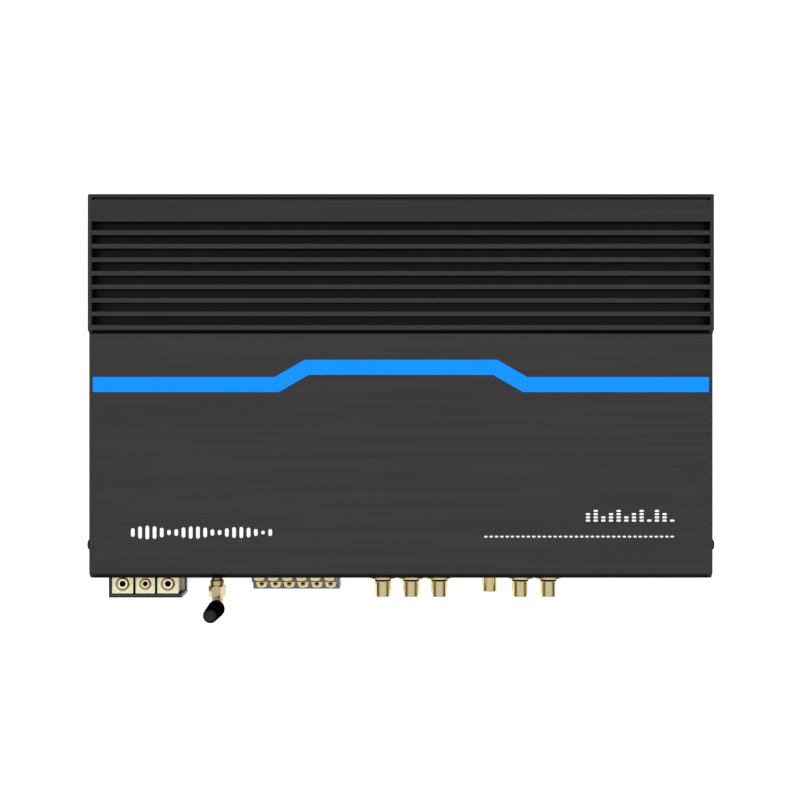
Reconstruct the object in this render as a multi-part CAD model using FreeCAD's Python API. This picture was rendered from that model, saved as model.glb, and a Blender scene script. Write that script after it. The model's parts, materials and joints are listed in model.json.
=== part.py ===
import FreeCAD, Part
import math
import os

from FreeCAD import Vector

# Car amplifier with a finned cover, one connector side and a stub antenna.
# Millimetres, +Z up, +X along the case, connectors face -Y.
# The origin is the centre of the four mounting nuts, on the underside.

# --- Case ---
CASE_LENGTH = 320.0
CASE_DEPTH = 197.0
END_PLATE = 2.0
BASE_THICK = 2.0
FIN_TOP = 54.0
PANEL_TOP = 51.0
WALL = 3.0
PANEL_DECK = 4.0
FIN_ROOT = 38.0
BEAD_RADIUS = 1.5
FRONT_CHAMFER = 2.5
EDGE_CHAMFER = 0.3

FIN_COUNT = 8
FIN_PITCH = 6.91
GROOVE_WIDTH = 4.6
GROOVE_DEPTH = 11.0
FIRST_GROOVE_Y = 84.3
STEP_TOP_Y = FIRST_GROOVE_Y - FIN_COUNT * FIN_PITCH
STEP_FOOT_Y = STEP_TOP_Y - 2.0
TRIM_LINE = (95.1, 96.6)
TRIM_DEPTH = 3.0

HALF_LENGTH = CASE_LENGTH / 2
HALF_DEPTH = CASE_DEPTH / 2
INNER_HALF = HALF_LENGTH - END_PLATE
SPAN = (-INNER_HALF, INNER_HALF)
FIT_GAP = 0.1

# --- Accent stripe ---
STRIPE_WIDTH = 7.75
STRIPE_SIDE_Y = 1.0
STRIPE_MIDDLE_Y = 9.85
STRIPE_SLOPE = math.radians(30)
STRIPE_BEND_X = 48.4
STRIPE_DEPTH = 1.0
STRIPE_PROUD = 0.15

# --- Screws: M3, threads left plain ---
M3_SHANK = 1.2
M3_TAPPED = 1.25
M3_CLEAR = 1.7
PAN_RADIUS = 2.8
PAN_HEIGHT = 2.2
PAN_ROUND = 1.0
CROSS_ARM = 3.2
CROSS_SLOT = 0.8
CROSS_DEPTH = 1.2
SUNK_RADIUS = 2.8
SUNK_HEIGHT = 1.6
SUNK_CROSS_DEPTH = 0.9
SCREW_LENGTH = 12.0
PORT_RADIUS = 3.2
PORT_WEB = 3.0
RAIL_HALF_WIDTH = 4.0
RAIL_TOP = 9.0
END_SCREWS = ((-81.9, 43.8), (88.0, 34.8), (91.5, 5.5), (-91.5, 4.0))
BASE_SCREW_X = (-120.0, 0.0, 120.0)
BASE_SCREW_Y = 91.5
BASE_SCREW_LENGTH = 8.0

# --- Mounting nuts: M4 clinch nuts in the base ---
MOUNT_X = 154.0
MOUNT_Y = 70.0
MOUNT_RADIUS = 2.0
NUT_RADIUS = 3.5
NUT_NECK = 2.8
NUT_HEIGHT = 3.0

# --- Front panel ---
FRONT_PANEL = (-97.5, -95.5)
FRONT_PANEL_Z = (4.0, 46.0)
FRONT_RIB_Y = (-HALF_DEPTH, -92.5)
BASE_RIB_Y = (-HALF_DEPTH, -88.5)
BASE_RIB_TOP = 6.0
FRONT_RIB_Z = 43.0

# --- Boards ---
BOARD_X = (-150.0, 150.0)
BOARD_Y = (-93.0, 65.0)
BOARD_Z = (6.4, 8.0)
STANDOFF_FLATS = 5.5
BOARD_SCREWS = [(x, y) for x in (-138.0, 0.0, 138.0) for y in (-70.0, 50.0)]
BOARD_SCREW_LENGTH = 5.0
SIGNAL_BOARD = ((10.0, 80.0), (-65.0, -15.0), (20.0, 21.6))
POST_RADIUS = 2.5
POST_INSET = 4.0
SIGNAL_CHIP_SIZE = 14.0
SIGNAL_CHIP_HEIGHT = 1.4
RADIO_MODULE = ((-110.0, -86.0), (-80.0, -56.0), (8.0, 11.0))

# --- Amplifier chips, clamped to a rib of the cover ---
RIB_Y = (66.0, 72.0)
RIB_BOTTOM = 12.0
CHIP_X = (-110.0, -60.0, -10.0, 40.0, 90.0)
CHIP_WIDTH = 29.0
CHIP_Y = (61.0, 65.6)
CHIP_Z = (12.0, 28.0)
LEG_COUNT = 13
LEG_PITCH = 2.0
LEG_THICK = 0.6
CLAMP_BAR = ((-130.0, 110.0), (58.0, 61.0), (17.0, 23.0))
CLAMP_SCREW_X = (-85.0, -35.0, 15.0, 65.0)
CLAMP_SCREW_Z = 20.0

# --- Power supply ---
CAPACITOR_RADIUS = 9.0
CAPACITOR_HEIGHT = 32.0
CAPACITOR_ROUND = 0.8
CAPACITOR_SPOTS = [(x, y) for x in (-130.0, -108.0, -86.0) for y in (-30.0, -8.0)]
CORE_CENTRE = (-40.0, -25.0)
CORE_RADII = (10.0, 19.0)
CORE_Z = (9.6, 23.6)
WIRE_THICK = 1.2
WINDING_TURNS = 18

# --- Power terminal ---
POWER_HOUSING = ((-154.6, -115.8), (-111.7, -92.0), (14.0, 32.0))
POWER_BLOCK_Y = (-109.5, -98.5)
POWER_BLOCK_Z = (15.6, 31.4)
POWER_SCREW_Y = -104.4
POWER_WIRE_Z = 20.5
POWER_TAIL_Z = (27.5, 29.5)
POWER_LEG_Y = (-91.9, -89.9)
POWER_LEG_WIDTH = 4.0
POWER_SINK_MARGIN = 1.3
POWER_SINK_DEPTH = 1.2
POWER_PAD_GAP = 0.15
POWER_WAYS = (
    {"name": "left", "x": -147.3, "width": 11.2, "wire": 4.0, "screw": 3.0, "hex": 3.0, "pad": 4.0},
    {"name": "middle", "x": -135.3, "width": 10.2, "wire": 3.2, "screw": 2.5, "hex": 2.5, "pad": 3.2},
    {"name": "right", "x": -123.3, "width": 11.2, "wire": 4.0, "screw": 3.0, "hex": 3.0, "pad": 4.0},
)
POWER_PAD_LENGTH = 6.0
POWER_PAD_THICK = 1.0
POWER_SCREW_TOP = 31.0
POWER_SCREW_CHAMFER = 0.35
POWER_HEX_DEPTH = 3.2
POWER_WIRE_DEPTH = 10.0
THREAD_GAP = 0.06
POWER_LIP_INSET = 0.3
POWER_RIM_CHAMFER = 0.8
POWER_LEDGE_Z = 20.0
POWER_FOOT_WIDTH = 1.2
POWER_FOOT_THICK = 1.5
POWER_DIVIDER_TOP = 25.0
POWER_DIVIDER_SLOPE = 1.2

# --- Speaker terminal: two tiers of six ---
SPEAKER_X = (-78.05, -33.65)
SPEAKER_STEP_X = (-79.2, -33.0)
SPEAKER_FRONT_X = (-78.6, -32.6)
SPEAKER_PITCH = 7.35
SPEAKER_COLUMNS = 6
SPEAKER_BOTTOM = 11.0
SPEAKER_BACK = -90.0
SPEAKER_TIERS = (
    {"front": -107.8, "top": 26.0, "leg_y": (-93.9, -93.1)},
    {"front": -102.3, "top": 38.5, "leg_y": (-89.9, -89.1)},
)
SPEAKER_LIP = 0.7
CAGE_WIDTH = 6.2
CAGE_LENGTH = 4.9
CAGE_DROP = 8.4
CAGE_TOP_DROP = 0.4
CAGE_FRONT_WIDTH = 4.6
CAGE_TAPER_LENGTH = 2.2
WIRE_WAY = 4.8
WIRE_WAY_FLOOR = 0.8
SPEAKER_SCREW_SETBACK = 2.7
COLLAR_FLATS = 4.0
COLLAR_HEIGHT = 0.8
SPEAKER_SCREW_RADIUS = 1.25
SPEAKER_SCREW_LENGTH = 2.6
SPEAKER_SCREW_RECESS = 0.25
SLOT_LENGTH = 1.9
SLOT_WIDTH = 0.9
SLOT_DEPTH = 1.6
SPEAKER_TAIL_WIDTH = 2.0
SPEAKER_TAIL_THICK = 0.8
SPEAKER_TAIL_DROP = 0.6

# --- Phono jacks ---
JACK_ROWS = (16.0, 33.0)
INPUT_COLUMNS = (-9.5, 5.4, 20.3)
INPUT_JACKS = [(x, z) for x in INPUT_COLUMNS for z in JACK_ROWS]
OUTPUT_COLUMNS = (48.0, 62.9, 77.8)
OUTPUT_JACKS = [(48.0, JACK_ROWS[0]), (62.9, JACK_ROWS[1]), (77.8, JACK_ROWS[1])]
JACK_HOUSING_Y = (-95.4, -79.0)
JACK_HOUSING_Z = (8.0, 40.4)
JACK_HOUSING_MARGIN = 7.9
BOSS_RADIUS = 6.0
BOSS_FRONT = -99.6
FLANGE_RADIUS = 7.1
FLANGE_Y = (-100.9, -99.6)
RING_RADIUS = 4.4
RING_FRONT = -102.3
BARREL_RADIUS = 4.15
NECK_RADIUS = 3.85
BARREL_BORE = 3.4
BARREL_FRONT = -110.5
BARREL_BACK = -90.0
BARREL_ROUND = 0.2
INSULATOR_FRONT = -109.6
SOCKET_RADIUS = 1.65
SOCKET_WALL = 0.35
SOCKET_FRONT = -108.8
SOCKET_BACK = -84.0

# --- Flush sockets at the right of the panel ---
FLUSH_FRONT = -98.2
OPTICAL_WALL = 2.0
OPTICAL_DEPTH = 8.0
CONTROL_WALLS = (2.0, 3.0)
CONTROL_DEPTH = 12.0
OPTICAL_PORT = ((96.0, 106.0), (FLUSH_FRONT, -85.0), (10.0, 20.0))
CONTROL_PORT = ((128.0, 144.0), (FLUSH_FRONT, -80.0), (8.0, 22.0))
USB_SOCKET = ((113.0, 121.0), (FLUSH_FRONT, -89.0), (12.0, 15.2))
USB_WALL = 0.4
USB_TONGUE = 0.8
USB_TONGUE_INSET = 2.0
USB_TONGUE_SETBACK = 1.5
USB_BACK_WALL = 1.0
LAMP_PLACE = (117.0, 30.0)
LAMP_RADIUS = 1.5
LAMP_SHOULDER = 1.0
LAMP_BACK = -90.0

# --- Antenna ---
ANTENNA_X = -97.9
ANTENNA_Z = 26.0
ANTENNA_Y = -117.8
THREAD_RADIUS = 3.1
JACK_THREAD_FRONT = -107.4
JACK_FLANGE_FLATS = 8.0
JACK_FLANGE_THICK = 2.5
JACK_REAR_Y = -88.0
JACK_REAR_RADIUS = 2.2
PANEL_NUT_THICK = 2.0
COUPLING_Y = (-112.0, -105.6)
COUPLING_COLLAR_BACK = -103.0
COUPLING_COLLAR_RADIUS = 3.75
COUPLING_FLATS = 8.0
COUPLING_SHOULDER = -109.4
FERRULE_RADIUS = 2.6
FERRULE_HEAD_RADIUS = 3.1
FERRULE_HEAD_BACK = -112.1
FERRULE_FLANGE = (-109.2, -108.0)
ELBOW_RADIUS = 3.1
ELBOW_Z = (22.2, 30.0)
STEM_RADIUS = 2.5
STEM_TOP = 44.0
SLEEVE_RADII = (4.6, 3.9)
SLEEVE_TOP = 51.9
SLEEVE_TIP = 2.4
LEAD_RADIUS = 0.9
LEAD_TURN_Y = -72.0


# --- Helpers ---
def box(x, y, z):
    """A box between (low, high) pairs along X, Y and Z."""
    return Part.makeBox(x[1] - x[0], y[1] - y[0], z[1] - z[0], Vector(x[0], y[0], z[0]))


def spot(axis, centre, along):
    """The point at a distance along an axis; centre holds the other two coordinates in order."""
    first, second = centre
    places = {
        "x": Vector(along, first, second),
        "y": Vector(first, along, second),
        "z": Vector(first, second, along),
    }
    return places[axis]


def direction(axis):
    """The unit vector along an axis."""
    return spot(axis, (0, 0), 1)


def rod(axis, centre, radius, ends):
    """A cylinder along an axis between two ends."""
    return Part.makeCylinder(radius, ends[1] - ends[0], spot(axis, centre, ends[0]), direction(axis))


def prism(axis, centre, sides, flats, ends, turn=0.0):
    """A regular prism along an axis, given its size across flats."""
    radius = flats / 2 / math.cos(math.pi / sides)
    corners = []
    for side in range(sides + 1):
        angle = turn + 2 * math.pi * side / sides
        offset = (centre[0] + radius * math.cos(angle), centre[1] + radius * math.sin(angle))
        corners.append(spot(axis, offset, ends[0]))
    face = Part.Face(Part.makePolygon(corners))
    return face.extrude(direction(axis) * (ends[1] - ends[0]))


def around(value, width):
    """The (low, high) pair of a width centred on a value."""
    return (value - width / 2, value + width / 2)


def grown(pair, gap):
    """A (low, high) pair widened by a gap at each end."""
    return (pair[0] - gap, pair[1] + gap)


def joined(first, *others):
    """One solid made of touching solids."""
    return first.fuse(list(others)).removeSplitter()


def aimed(shape, point, towards):
    """A shape built along +Z, turned to point another way and moved to a point."""
    copy = shape.copy()
    turn = FreeCAD.Rotation(Vector(0, 0, 1), towards)
    copy.Placement = FreeCAD.Placement(point, turn)
    return copy


def save(name, solids):
    """Write one sub-part as a STEP file, a list as a group of separate solids."""
    shape = solids[0] if len(solids) == 1 else Part.makeCompound(solids)
    if not shape.isValid():
        raise ValueError(name)
    shape.exportStep(os.path.join("parts", name + ".step"))


# --- Case ---
def case_section(bottom):
    """The outside of the case seen from its end, from a bottom height up."""
    bead_side = Vector(0, HALF_DEPTH, FIN_TOP - BEAD_RADIUS)
    bead_top = Vector(0, HALF_DEPTH - BEAD_RADIUS, FIN_TOP)
    inset = BEAD_RADIUS * (1 - math.sqrt(0.5))
    bead_middle = Vector(0, HALF_DEPTH - inset, FIN_TOP - inset)
    corners = [
        bead_top,
        Vector(0, STEP_TOP_Y, FIN_TOP),
        Vector(0, STEP_FOOT_Y, PANEL_TOP),
        Vector(0, FRONT_CHAMFER - HALF_DEPTH, PANEL_TOP),
        Vector(0, -HALF_DEPTH, PANEL_TOP - FRONT_CHAMFER),
        Vector(0, -HALF_DEPTH, bottom),
        Vector(0, HALF_DEPTH, bottom),
        bead_side,
    ]
    bead = Part.Arc(bead_side, bead_middle, bead_top).toShape()
    return Part.Face(Part.Wire(Part.makePolygon(corners).Edges + [bead]))


def case_solid(start, end, bottom):
    """The case section as a solid between two X positions."""
    face = case_section(bottom)
    face.translate(Vector(start, 0, 0))
    return face.extrude(Vector(end - start, 0, 0))


def screw_port(y, z, radius):
    """A round bar or hole along the case for an end screw."""
    return rod("x", (y, z), radius, SPAN)


def heatsink_cover():
    """The extrusion: finned deck, flat deck, back wall, cooling rib and screw ports."""
    cover = case_solid(SPAN[0], SPAN[1], BASE_THICK)
    step_inside = STEP_FOOT_Y - PANEL_DECK
    cover = cover.cut([
        box(SPAN, (step_inside, HALF_DEPTH - WALL), (0, FIN_ROOT)),
        box(SPAN, (FRONT_RIB_Y[1], step_inside), (0, PANEL_TOP - PANEL_DECK)),
        box(SPAN, grown(FRONT_RIB_Y, 1.0), (0, FRONT_RIB_Z)),
    ])
    front_port, back_port, low_port = END_SCREWS[:3]
    cover = joined(
        cover,
        box(SPAN, RIB_Y, (RIB_BOTTOM, FIN_ROOT)),
        box(SPAN, (BASE_SCREW_Y - RAIL_HALF_WIDTH, HALF_DEPTH - WALL), (BASE_THICK, RAIL_TOP)),
        screw_port(*front_port, PORT_RADIUS),
        screw_port(*back_port, PORT_RADIUS),
        box(SPAN, around(front_port[0], PORT_WEB), (front_port[1], PANEL_TOP - PANEL_DECK)),
        box(SPAN, around(back_port[0], PORT_WEB), (back_port[1], FIN_ROOT)),
    )
    cuts = [screw_port(*place, M3_TAPPED) for place in (front_port, back_port, low_port)]
    for number in range(FIN_COUNT):
        edge = FIRST_GROOVE_Y - number * FIN_PITCH
        cuts.append(box(SPAN, (edge - GROOVE_WIDTH, edge), (FIN_TOP - GROOVE_DEPTH, FIN_TOP)))
    cuts.append(box(SPAN, TRIM_LINE, (FIN_TOP - TRIM_DEPTH, FIN_TOP)))
    cuts.append(box(SPAN, grown(FRONT_PANEL, FIT_GAP), (0, FRONT_PANEL_Z[1] + FIT_GAP)))
    for x in BASE_SCREW_X:
        cuts.append(rod("z", (x, BASE_SCREW_Y), M3_TAPPED, (0, SCREW_LENGTH)))
    for x in CLAMP_SCREW_X:
        cuts.append(rod("y", (x, CLAMP_SCREW_Z), M3_TAPPED, (RIB_Y[0], RIB_Y[1])))
    cuts.append(stripe_solid(FIT_GAP / 2, PANEL_TOP - STRIPE_DEPTH, PANEL_TOP + STRIPE_DEPTH))
    return cover.cut(cuts)


def stripe_solid(gap, low, high):
    """The accent band: raised in the middle, joined to its sides by two slopes."""
    half = STRIPE_WIDTH / 2 + gap
    rise = STRIPE_MIDDLE_Y - STRIPE_SIDE_Y
    run = rise / math.tan(STRIPE_SLOPE)
    corner = half * math.tan(STRIPE_SLOPE / 2)
    edge = []
    for side in (1, -1):
        inner = STRIPE_BEND_X + side * corner
        outer = STRIPE_BEND_X + run + side * corner
        middle = STRIPE_MIDDLE_Y + side * half
        ends = STRIPE_SIDE_Y + side * half
        points = [(-INNER_HALF, ends), (-outer, ends), (-inner, middle)]
        points += [(-x, y) for x, y in reversed(points)]
        edge += points if side == 1 else points[::-1]
    corners = [Vector(x, y, low) for x, y in edge]
    face = Part.Face(Part.makePolygon(corners + corners[:1]))
    return face.extrude(Vector(0, 0, high - low))


def end_plate(side):
    """A side plate with the case's outline, chamfered on its outer edges."""
    start, end = sorted((side * INNER_HALF, side * HALF_LENGTH))
    plate = case_solid(start, end, 0)
    outer = side * HALF_LENGTH
    rim = [edge for edge in plate.Edges if all(abs(v.X - outer) < 1e-6 for v in edge.Vertexes)]
    plate = plate.makeChamfer(EDGE_CHAMFER, rim)
    return plate.cut([rod("x", place, M3_CLEAR, (start, end)) for place in END_SCREWS])


def base_plate():
    """The bottom sheet with a front rib that holds the front panel's lower edge."""
    plate = joined(
        box(SPAN, (-HALF_DEPTH, HALF_DEPTH), (0, BASE_THICK)),
        box(SPAN, BASE_RIB_Y, (0, BASE_RIB_TOP)),
    )
    cuts = [
        box(SPAN, grown(FRONT_PANEL, FIT_GAP), (FRONT_PANEL_Z[0], BASE_RIB_TOP)),
        screw_port(*END_SCREWS[3], M3_TAPPED),
    ]
    for x in BASE_SCREW_X:
        cuts.append(countersunk_space((x, BASE_SCREW_Y)))
    for x, y in mount_places():
        cuts.append(rod("z", (x, y), NUT_NECK, (0, BASE_THICK)))
    for x, y in BOARD_SCREWS:
        cuts.append(rod("z", (x, y), M3_TAPPED, (0, BASE_THICK)))
    return plate.cut(cuts)


def mount_places():
    """The four mounting nut positions."""
    return [(x, y) for x in (-MOUNT_X, MOUNT_X) for y in (-MOUNT_Y, MOUNT_Y)]


def mounting_nuts():
    """Clinch nuts pressed into the base from inside."""
    nuts = []
    for place in mount_places():
        body = rod("z", place, NUT_RADIUS, (BASE_THICK, BASE_THICK + NUT_HEIGHT))
        neck = rod("z", place, NUT_NECK, (0, BASE_THICK))
        hole = rod("z", place, MOUNT_RADIUS, (0, BASE_THICK + NUT_HEIGHT))
        nuts.append(joined(body, neck).cut(hole))
    return nuts


# --- Screws ---
def cross_slots(z):
    """The two slots of a cross recess between two heights."""
    arm = around(0, CROSS_ARM)
    slot = around(0, CROSS_SLOT)
    return [box(arm, slot, z), box(slot, arm, z)]


def pan_screw(length):
    """A pan head screw along +Z, its head on the XY plane and its shank below."""
    head = rod("z", (0, 0), PAN_RADIUS, (0, PAN_HEIGHT))
    rim = [edge for edge in head.Edges if edge.CenterOfMass.z > PAN_HEIGHT - 0.01 and edge.Closed]
    head = head.makeFillet(PAN_ROUND, rim)
    shank = rod("z", (0, 0), M3_SHANK, (-length, 0))
    return joined(head, shank).cut(cross_slots((PAN_HEIGHT - CROSS_DEPTH, PAN_HEIGHT)))


def countersunk_screw(length):
    """A countersunk screw standing up from its flat head on the XY plane."""
    head = Part.makeCone(SUNK_RADIUS, M3_SHANK, SUNK_HEIGHT)
    shank = rod("z", (0, 0), M3_SHANK, (SUNK_HEIGHT, length))
    return joined(head, shank).cut(cross_slots((0, SUNK_CROSS_DEPTH)))


def countersunk_space(place):
    """The space in the base for one countersunk screw."""
    wide = SUNK_RADIUS + FIT_GAP
    cone = Part.makeCone(wide, M3_TAPPED, SUNK_HEIGHT + FIT_GAP / 2, spot("z", place, 0), direction("z"))
    return joined(cone, rod("z", place, M3_TAPPED, (0, BASE_THICK)))


def end_plate_screws():
    """Four screws through each end plate."""
    screw = pan_screw(SCREW_LENGTH)
    screws = []
    for side in (-1, 1):
        for place in END_SCREWS:
            screws.append(aimed(screw, spot("x", place, side * HALF_LENGTH), Vector(side, 0, 0)))
    return screws


def base_plate_screws():
    """Three screws up into the cover's back rail."""
    screw = countersunk_screw(BASE_SCREW_LENGTH)
    return [aimed(screw, Vector(x, BASE_SCREW_Y, 0), Vector(0, 0, 1)) for x in BASE_SCREW_X]


def internal_screws():
    """Board screws and clamp bar screws."""
    short = pan_screw(BOARD_SCREW_LENGTH)
    long = pan_screw(SCREW_LENGTH)
    screws = [aimed(short, Vector(x, y, BOARD_Z[1]), Vector(0, 0, 1)) for x, y in BOARD_SCREWS]
    for x in CLAMP_SCREW_X:
        screws.append(aimed(long, Vector(x, CLAMP_BAR[1][0], CLAMP_SCREW_Z), Vector(0, -1, 0)))
    return screws


# --- Front panel ---
def front_panel():
    """The connector panel with an opening for each connector."""
    panel = box(SPAN, FRONT_PANEL, FRONT_PANEL_Z)
    cuts = [box(grown(POWER_HOUSING[0], FIT_GAP), FRONT_PANEL, grown(POWER_HOUSING[2], FIT_GAP))]
    speaker_z = (SPEAKER_BOTTOM, SPEAKER_TIERS[1]["top"] + COLLAR_HEIGHT)
    cuts.append(box(grown(SPEAKER_X, FIT_GAP), FRONT_PANEL, grown(speaker_z, FIT_GAP)))
    for place in INPUT_JACKS + OUTPUT_JACKS:
        cuts.append(rod("y", place, BOSS_RADIUS + FIT_GAP, FRONT_PANEL))
    for x, _, z in (OPTICAL_PORT, CONTROL_PORT, USB_SOCKET):
        cuts.append(box(grown(x, FIT_GAP), FRONT_PANEL, grown(z, FIT_GAP)))
    cuts.append(rod("y", LAMP_PLACE, LAMP_RADIUS + FIT_GAP, FRONT_PANEL))
    cuts.append(rod("y", (ANTENNA_X, ANTENNA_Z), THREAD_RADIUS + FIT_GAP, FRONT_PANEL))
    return panel.cut(cuts)


# --- Boards and electronics ---
def main_board():
    """The main circuit board with its screw holes."""
    board = box(BOARD_X, BOARD_Y, BOARD_Z)
    return board.cut([rod("z", place, M3_CLEAR, BOARD_Z) for place in BOARD_SCREWS])


def board_standoffs():
    """Hexagonal posts between the base and the main board."""
    posts = []
    for place in BOARD_SCREWS:
        post = prism("z", place, 6, STANDOFF_FLATS, (BASE_THICK, BOARD_Z[0]))
        posts.append(post.cut(rod("z", place, M3_TAPPED, (BASE_THICK, BOARD_Z[0]))))
    return posts


def signal_board_posts():
    """Posts that carry the signal board over the main board."""
    (x0, x1), (y0, y1), (z0, _) = SIGNAL_BOARD
    spots = [(x, y) for x in (x0 + POST_INSET, x1 - POST_INSET) for y in (y0 + POST_INSET, y1 - POST_INSET)]
    return [rod("z", place, POST_RADIUS, (BOARD_Z[1], z0)) for place in spots]


def signal_processor():
    """The square processor chip in the middle of the signal board."""
    (x0, x1), (y0, y1), (_, z1) = SIGNAL_BOARD
    x = around((x0 + x1) / 2, SIGNAL_CHIP_SIZE)
    y = around((y0 + y1) / 2, SIGNAL_CHIP_SIZE)
    return box(x, y, (z1, z1 + SIGNAL_CHIP_HEIGHT))


def amplifier_chips():
    """Upright power chips with a row of legs down to the board."""
    chips = []
    middle = sum(CHIP_Y) / 2
    for x in CHIP_X:
        legs = []
        for number in range(LEG_COUNT):
            leg_x = x + (number - (LEG_COUNT - 1) / 2) * LEG_PITCH
            legs.append(box(around(leg_x, LEG_THICK), around(middle, LEG_THICK), (BOARD_Z[1], CHIP_Z[0])))
        chips.append(joined(box(around(x, CHIP_WIDTH), CHIP_Y, CHIP_Z), *legs))
    return chips


def thermal_pads():
    """Soft pads between the chips and the cooling rib."""
    return [box(around(x, CHIP_WIDTH), (CHIP_Y[1], RIB_Y[0]), CHIP_Z) for x in CHIP_X]


def chip_clamp_bar():
    """The bar that presses the chips on the rib."""
    bar = box(*CLAMP_BAR)
    return bar.cut([rod("y", (x, CLAMP_SCREW_Z), M3_CLEAR, CLAMP_BAR[1]) for x in CLAMP_SCREW_X])


def filter_capacitors():
    """Upright cans on the main board."""
    ends = (BOARD_Z[1], BOARD_Z[1] + CAPACITOR_HEIGHT)
    cans = []
    for place in CAPACITOR_SPOTS:
        can = rod("z", place, CAPACITOR_RADIUS, ends)
        cans.append(can.makeFillet(CAPACITOR_ROUND, [edge for edge in can.Edges if edge.Closed]))
    return cans


def transformer_core():
    """The ring core."""
    inner, outer = CORE_RADII
    return rod("z", CORE_CENTRE, outer, CORE_Z).cut(rod("z", CORE_CENTRE, inner, CORE_Z))


def transformer_winding():
    """Rectangular turns of wire round the core's section."""
    radii = grown(CORE_RADII, FIT_GAP)
    heights = grown(CORE_Z, FIT_GAP)
    width = around(0, WIRE_THICK)
    outer = box(grown(radii, WIRE_THICK), width, grown(heights, WIRE_THICK))
    turn = outer.cut(box(radii, width, heights))
    turns = []
    for number in range(WINDING_TURNS):
        copy = turn.copy()
        copy.rotate(Vector(0, 0, 0), direction("z"), 360 * number / WINDING_TURNS)
        copy.translate(Vector(*CORE_CENTRE, 0))
        turns.append(copy)
    return turns


# --- Power terminal ---
def power_block_x(way):
    """The (low, high) X of one power contact block."""
    return around(way["x"], way["width"])


def pad_pocket_top(way):
    """The top of the pocket that hides a pressure pad above the wire hole."""
    return POWER_WIRE_Z + way["wire"] + POWER_PAD_THICK + 2 * POWER_PAD_GAP


def power_terminal_housing():
    """The insulating body: three open pockets, wire holes in front and a low ledge at the right."""
    body = box(*POWER_HOUSING)
    left, front, top = POWER_HOUSING[0][0], POWER_HOUSING[1][0], POWER_HOUSING[2][1]
    rim = [edge for edge in body.Edges if edge.BoundBox.ZMin > top - 0.01
           and (edge.BoundBox.XMax < left + 0.01 or edge.BoundBox.YMax < front + 0.01)]
    body = body.makeChamfer(POWER_RIM_CHAMFER, rim)
    cuts = []
    for way in POWER_WAYS:
        x = grown(power_block_x(way), FIT_GAP)
        cuts.append(box(x, grown(POWER_BLOCK_Y, FIT_GAP), (POWER_BLOCK_Z[0], POWER_HOUSING[2][1])))
        lip = (front, POWER_BLOCK_Y[0])
        cuts.append(rod("y", (way["x"], POWER_WIRE_Z), way["wire"] - POWER_LIP_INSET, lip))
        tail_x = grown(around(way["x"], POWER_LEG_WIDTH), FIT_GAP)
        cuts.append(box(tail_x, (POWER_BLOCK_Y[1], POWER_HOUSING[1][1]), grown(POWER_TAIL_Z, FIT_GAP)))
    for left_way, right_way in zip(POWER_WAYS, POWER_WAYS[1:]):
        cuts.append(divider_relief((power_block_x(left_way)[1], power_block_x(right_way)[0])))
    open_side = (POWER_WAYS[-1]["x"], POWER_HOUSING[0][1])
    cuts.append(box(open_side, (POWER_BLOCK_Y[0], FRONT_PANEL[0]), (POWER_LEDGE_Z, top)))
    foot_z = grown((POWER_LEDGE_Z - POWER_FOOT_THICK, POWER_LEDGE_Z), FIT_GAP)
    cuts.append(box(open_side, (POWER_BLOCK_Y[0], FRONT_PANEL[0]), foot_z))
    return body.cut(cuts)


def divider_relief(x):
    """The space above a low divider, which slopes up to the front rim."""
    back, front, top = POWER_BLOCK_Y[1], POWER_BLOCK_Y[0], POWER_HOUSING[2][1]
    corners = [
        Vector(x[0], back, top),
        Vector(x[0], front, top),
        Vector(x[0], front + POWER_DIVIDER_SLOPE, POWER_DIVIDER_TOP),
        Vector(x[0], back, POWER_DIVIDER_TOP),
    ]
    face = Part.Face(Part.makePolygon(corners + corners[:1]))
    return face.extrude(Vector(x[1] - x[0], 0, 0))


def power_foot():
    """The strip of the right contact that lies on the housing's ledge."""
    edge = power_block_x(POWER_WAYS[-1])[1]
    ends = (POWER_BLOCK_Y[0] + FIT_GAP, POWER_BLOCK_Y[1])
    return box((edge, edge + POWER_FOOT_WIDTH), ends, (POWER_LEDGE_Z - POWER_FOOT_THICK, POWER_LEDGE_Z))


def power_contact(way):
    """One clamp block with a wire hole, a screw hole and a bent tail to the board."""
    block = box(power_block_x(way), POWER_BLOCK_Y, POWER_BLOCK_Z)
    tail_x = around(way["x"], POWER_LEG_WIDTH)
    block = joined(
        block,
        box(tail_x, (POWER_BLOCK_Y[1], POWER_LEG_Y[1]), POWER_TAIL_Z),
        box(tail_x, POWER_LEG_Y, (BOARD_Z[1], POWER_TAIL_Z[1])),
    )
    if way is POWER_WAYS[-1]:
        block = joined(block, power_foot())
    top = POWER_BLOCK_Z[1]
    wire_ends = (POWER_BLOCK_Y[0], POWER_BLOCK_Y[0] + POWER_WIRE_DEPTH)
    screw_hole = way["screw"] + THREAD_GAP
    centre = (way["x"], POWER_SCREW_Y)
    sink = Part.makeCone(
        screw_hole, way["screw"] + POWER_SINK_MARGIN, POWER_SINK_DEPTH,
        spot("z", centre, top - POWER_SINK_DEPTH), direction("z"),
    )
    pocket = box(
        grown(around(way["x"], way["pad"]), 2 * FIT_GAP),
        grown(around(POWER_SCREW_Y, POWER_PAD_LENGTH), 2 * FIT_GAP),
        (POWER_WIRE_Z, pad_pocket_top(way)),
    )
    return block.cut([
        rod("y", (way["x"], POWER_WIRE_Z), way["wire"], wire_ends),
        rod("z", centre, screw_hole, (POWER_WIRE_Z, top)),
        pocket,
        sink,
    ])


def power_pad(way):
    """The loose pressure pad under one power screw."""
    bottom = POWER_WIRE_Z + way["wire"] + POWER_PAD_GAP
    x = around(way["x"], way["pad"])
    y = around(POWER_SCREW_Y, POWER_PAD_LENGTH)
    return box(x, y, (bottom, bottom + POWER_PAD_THICK))


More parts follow.
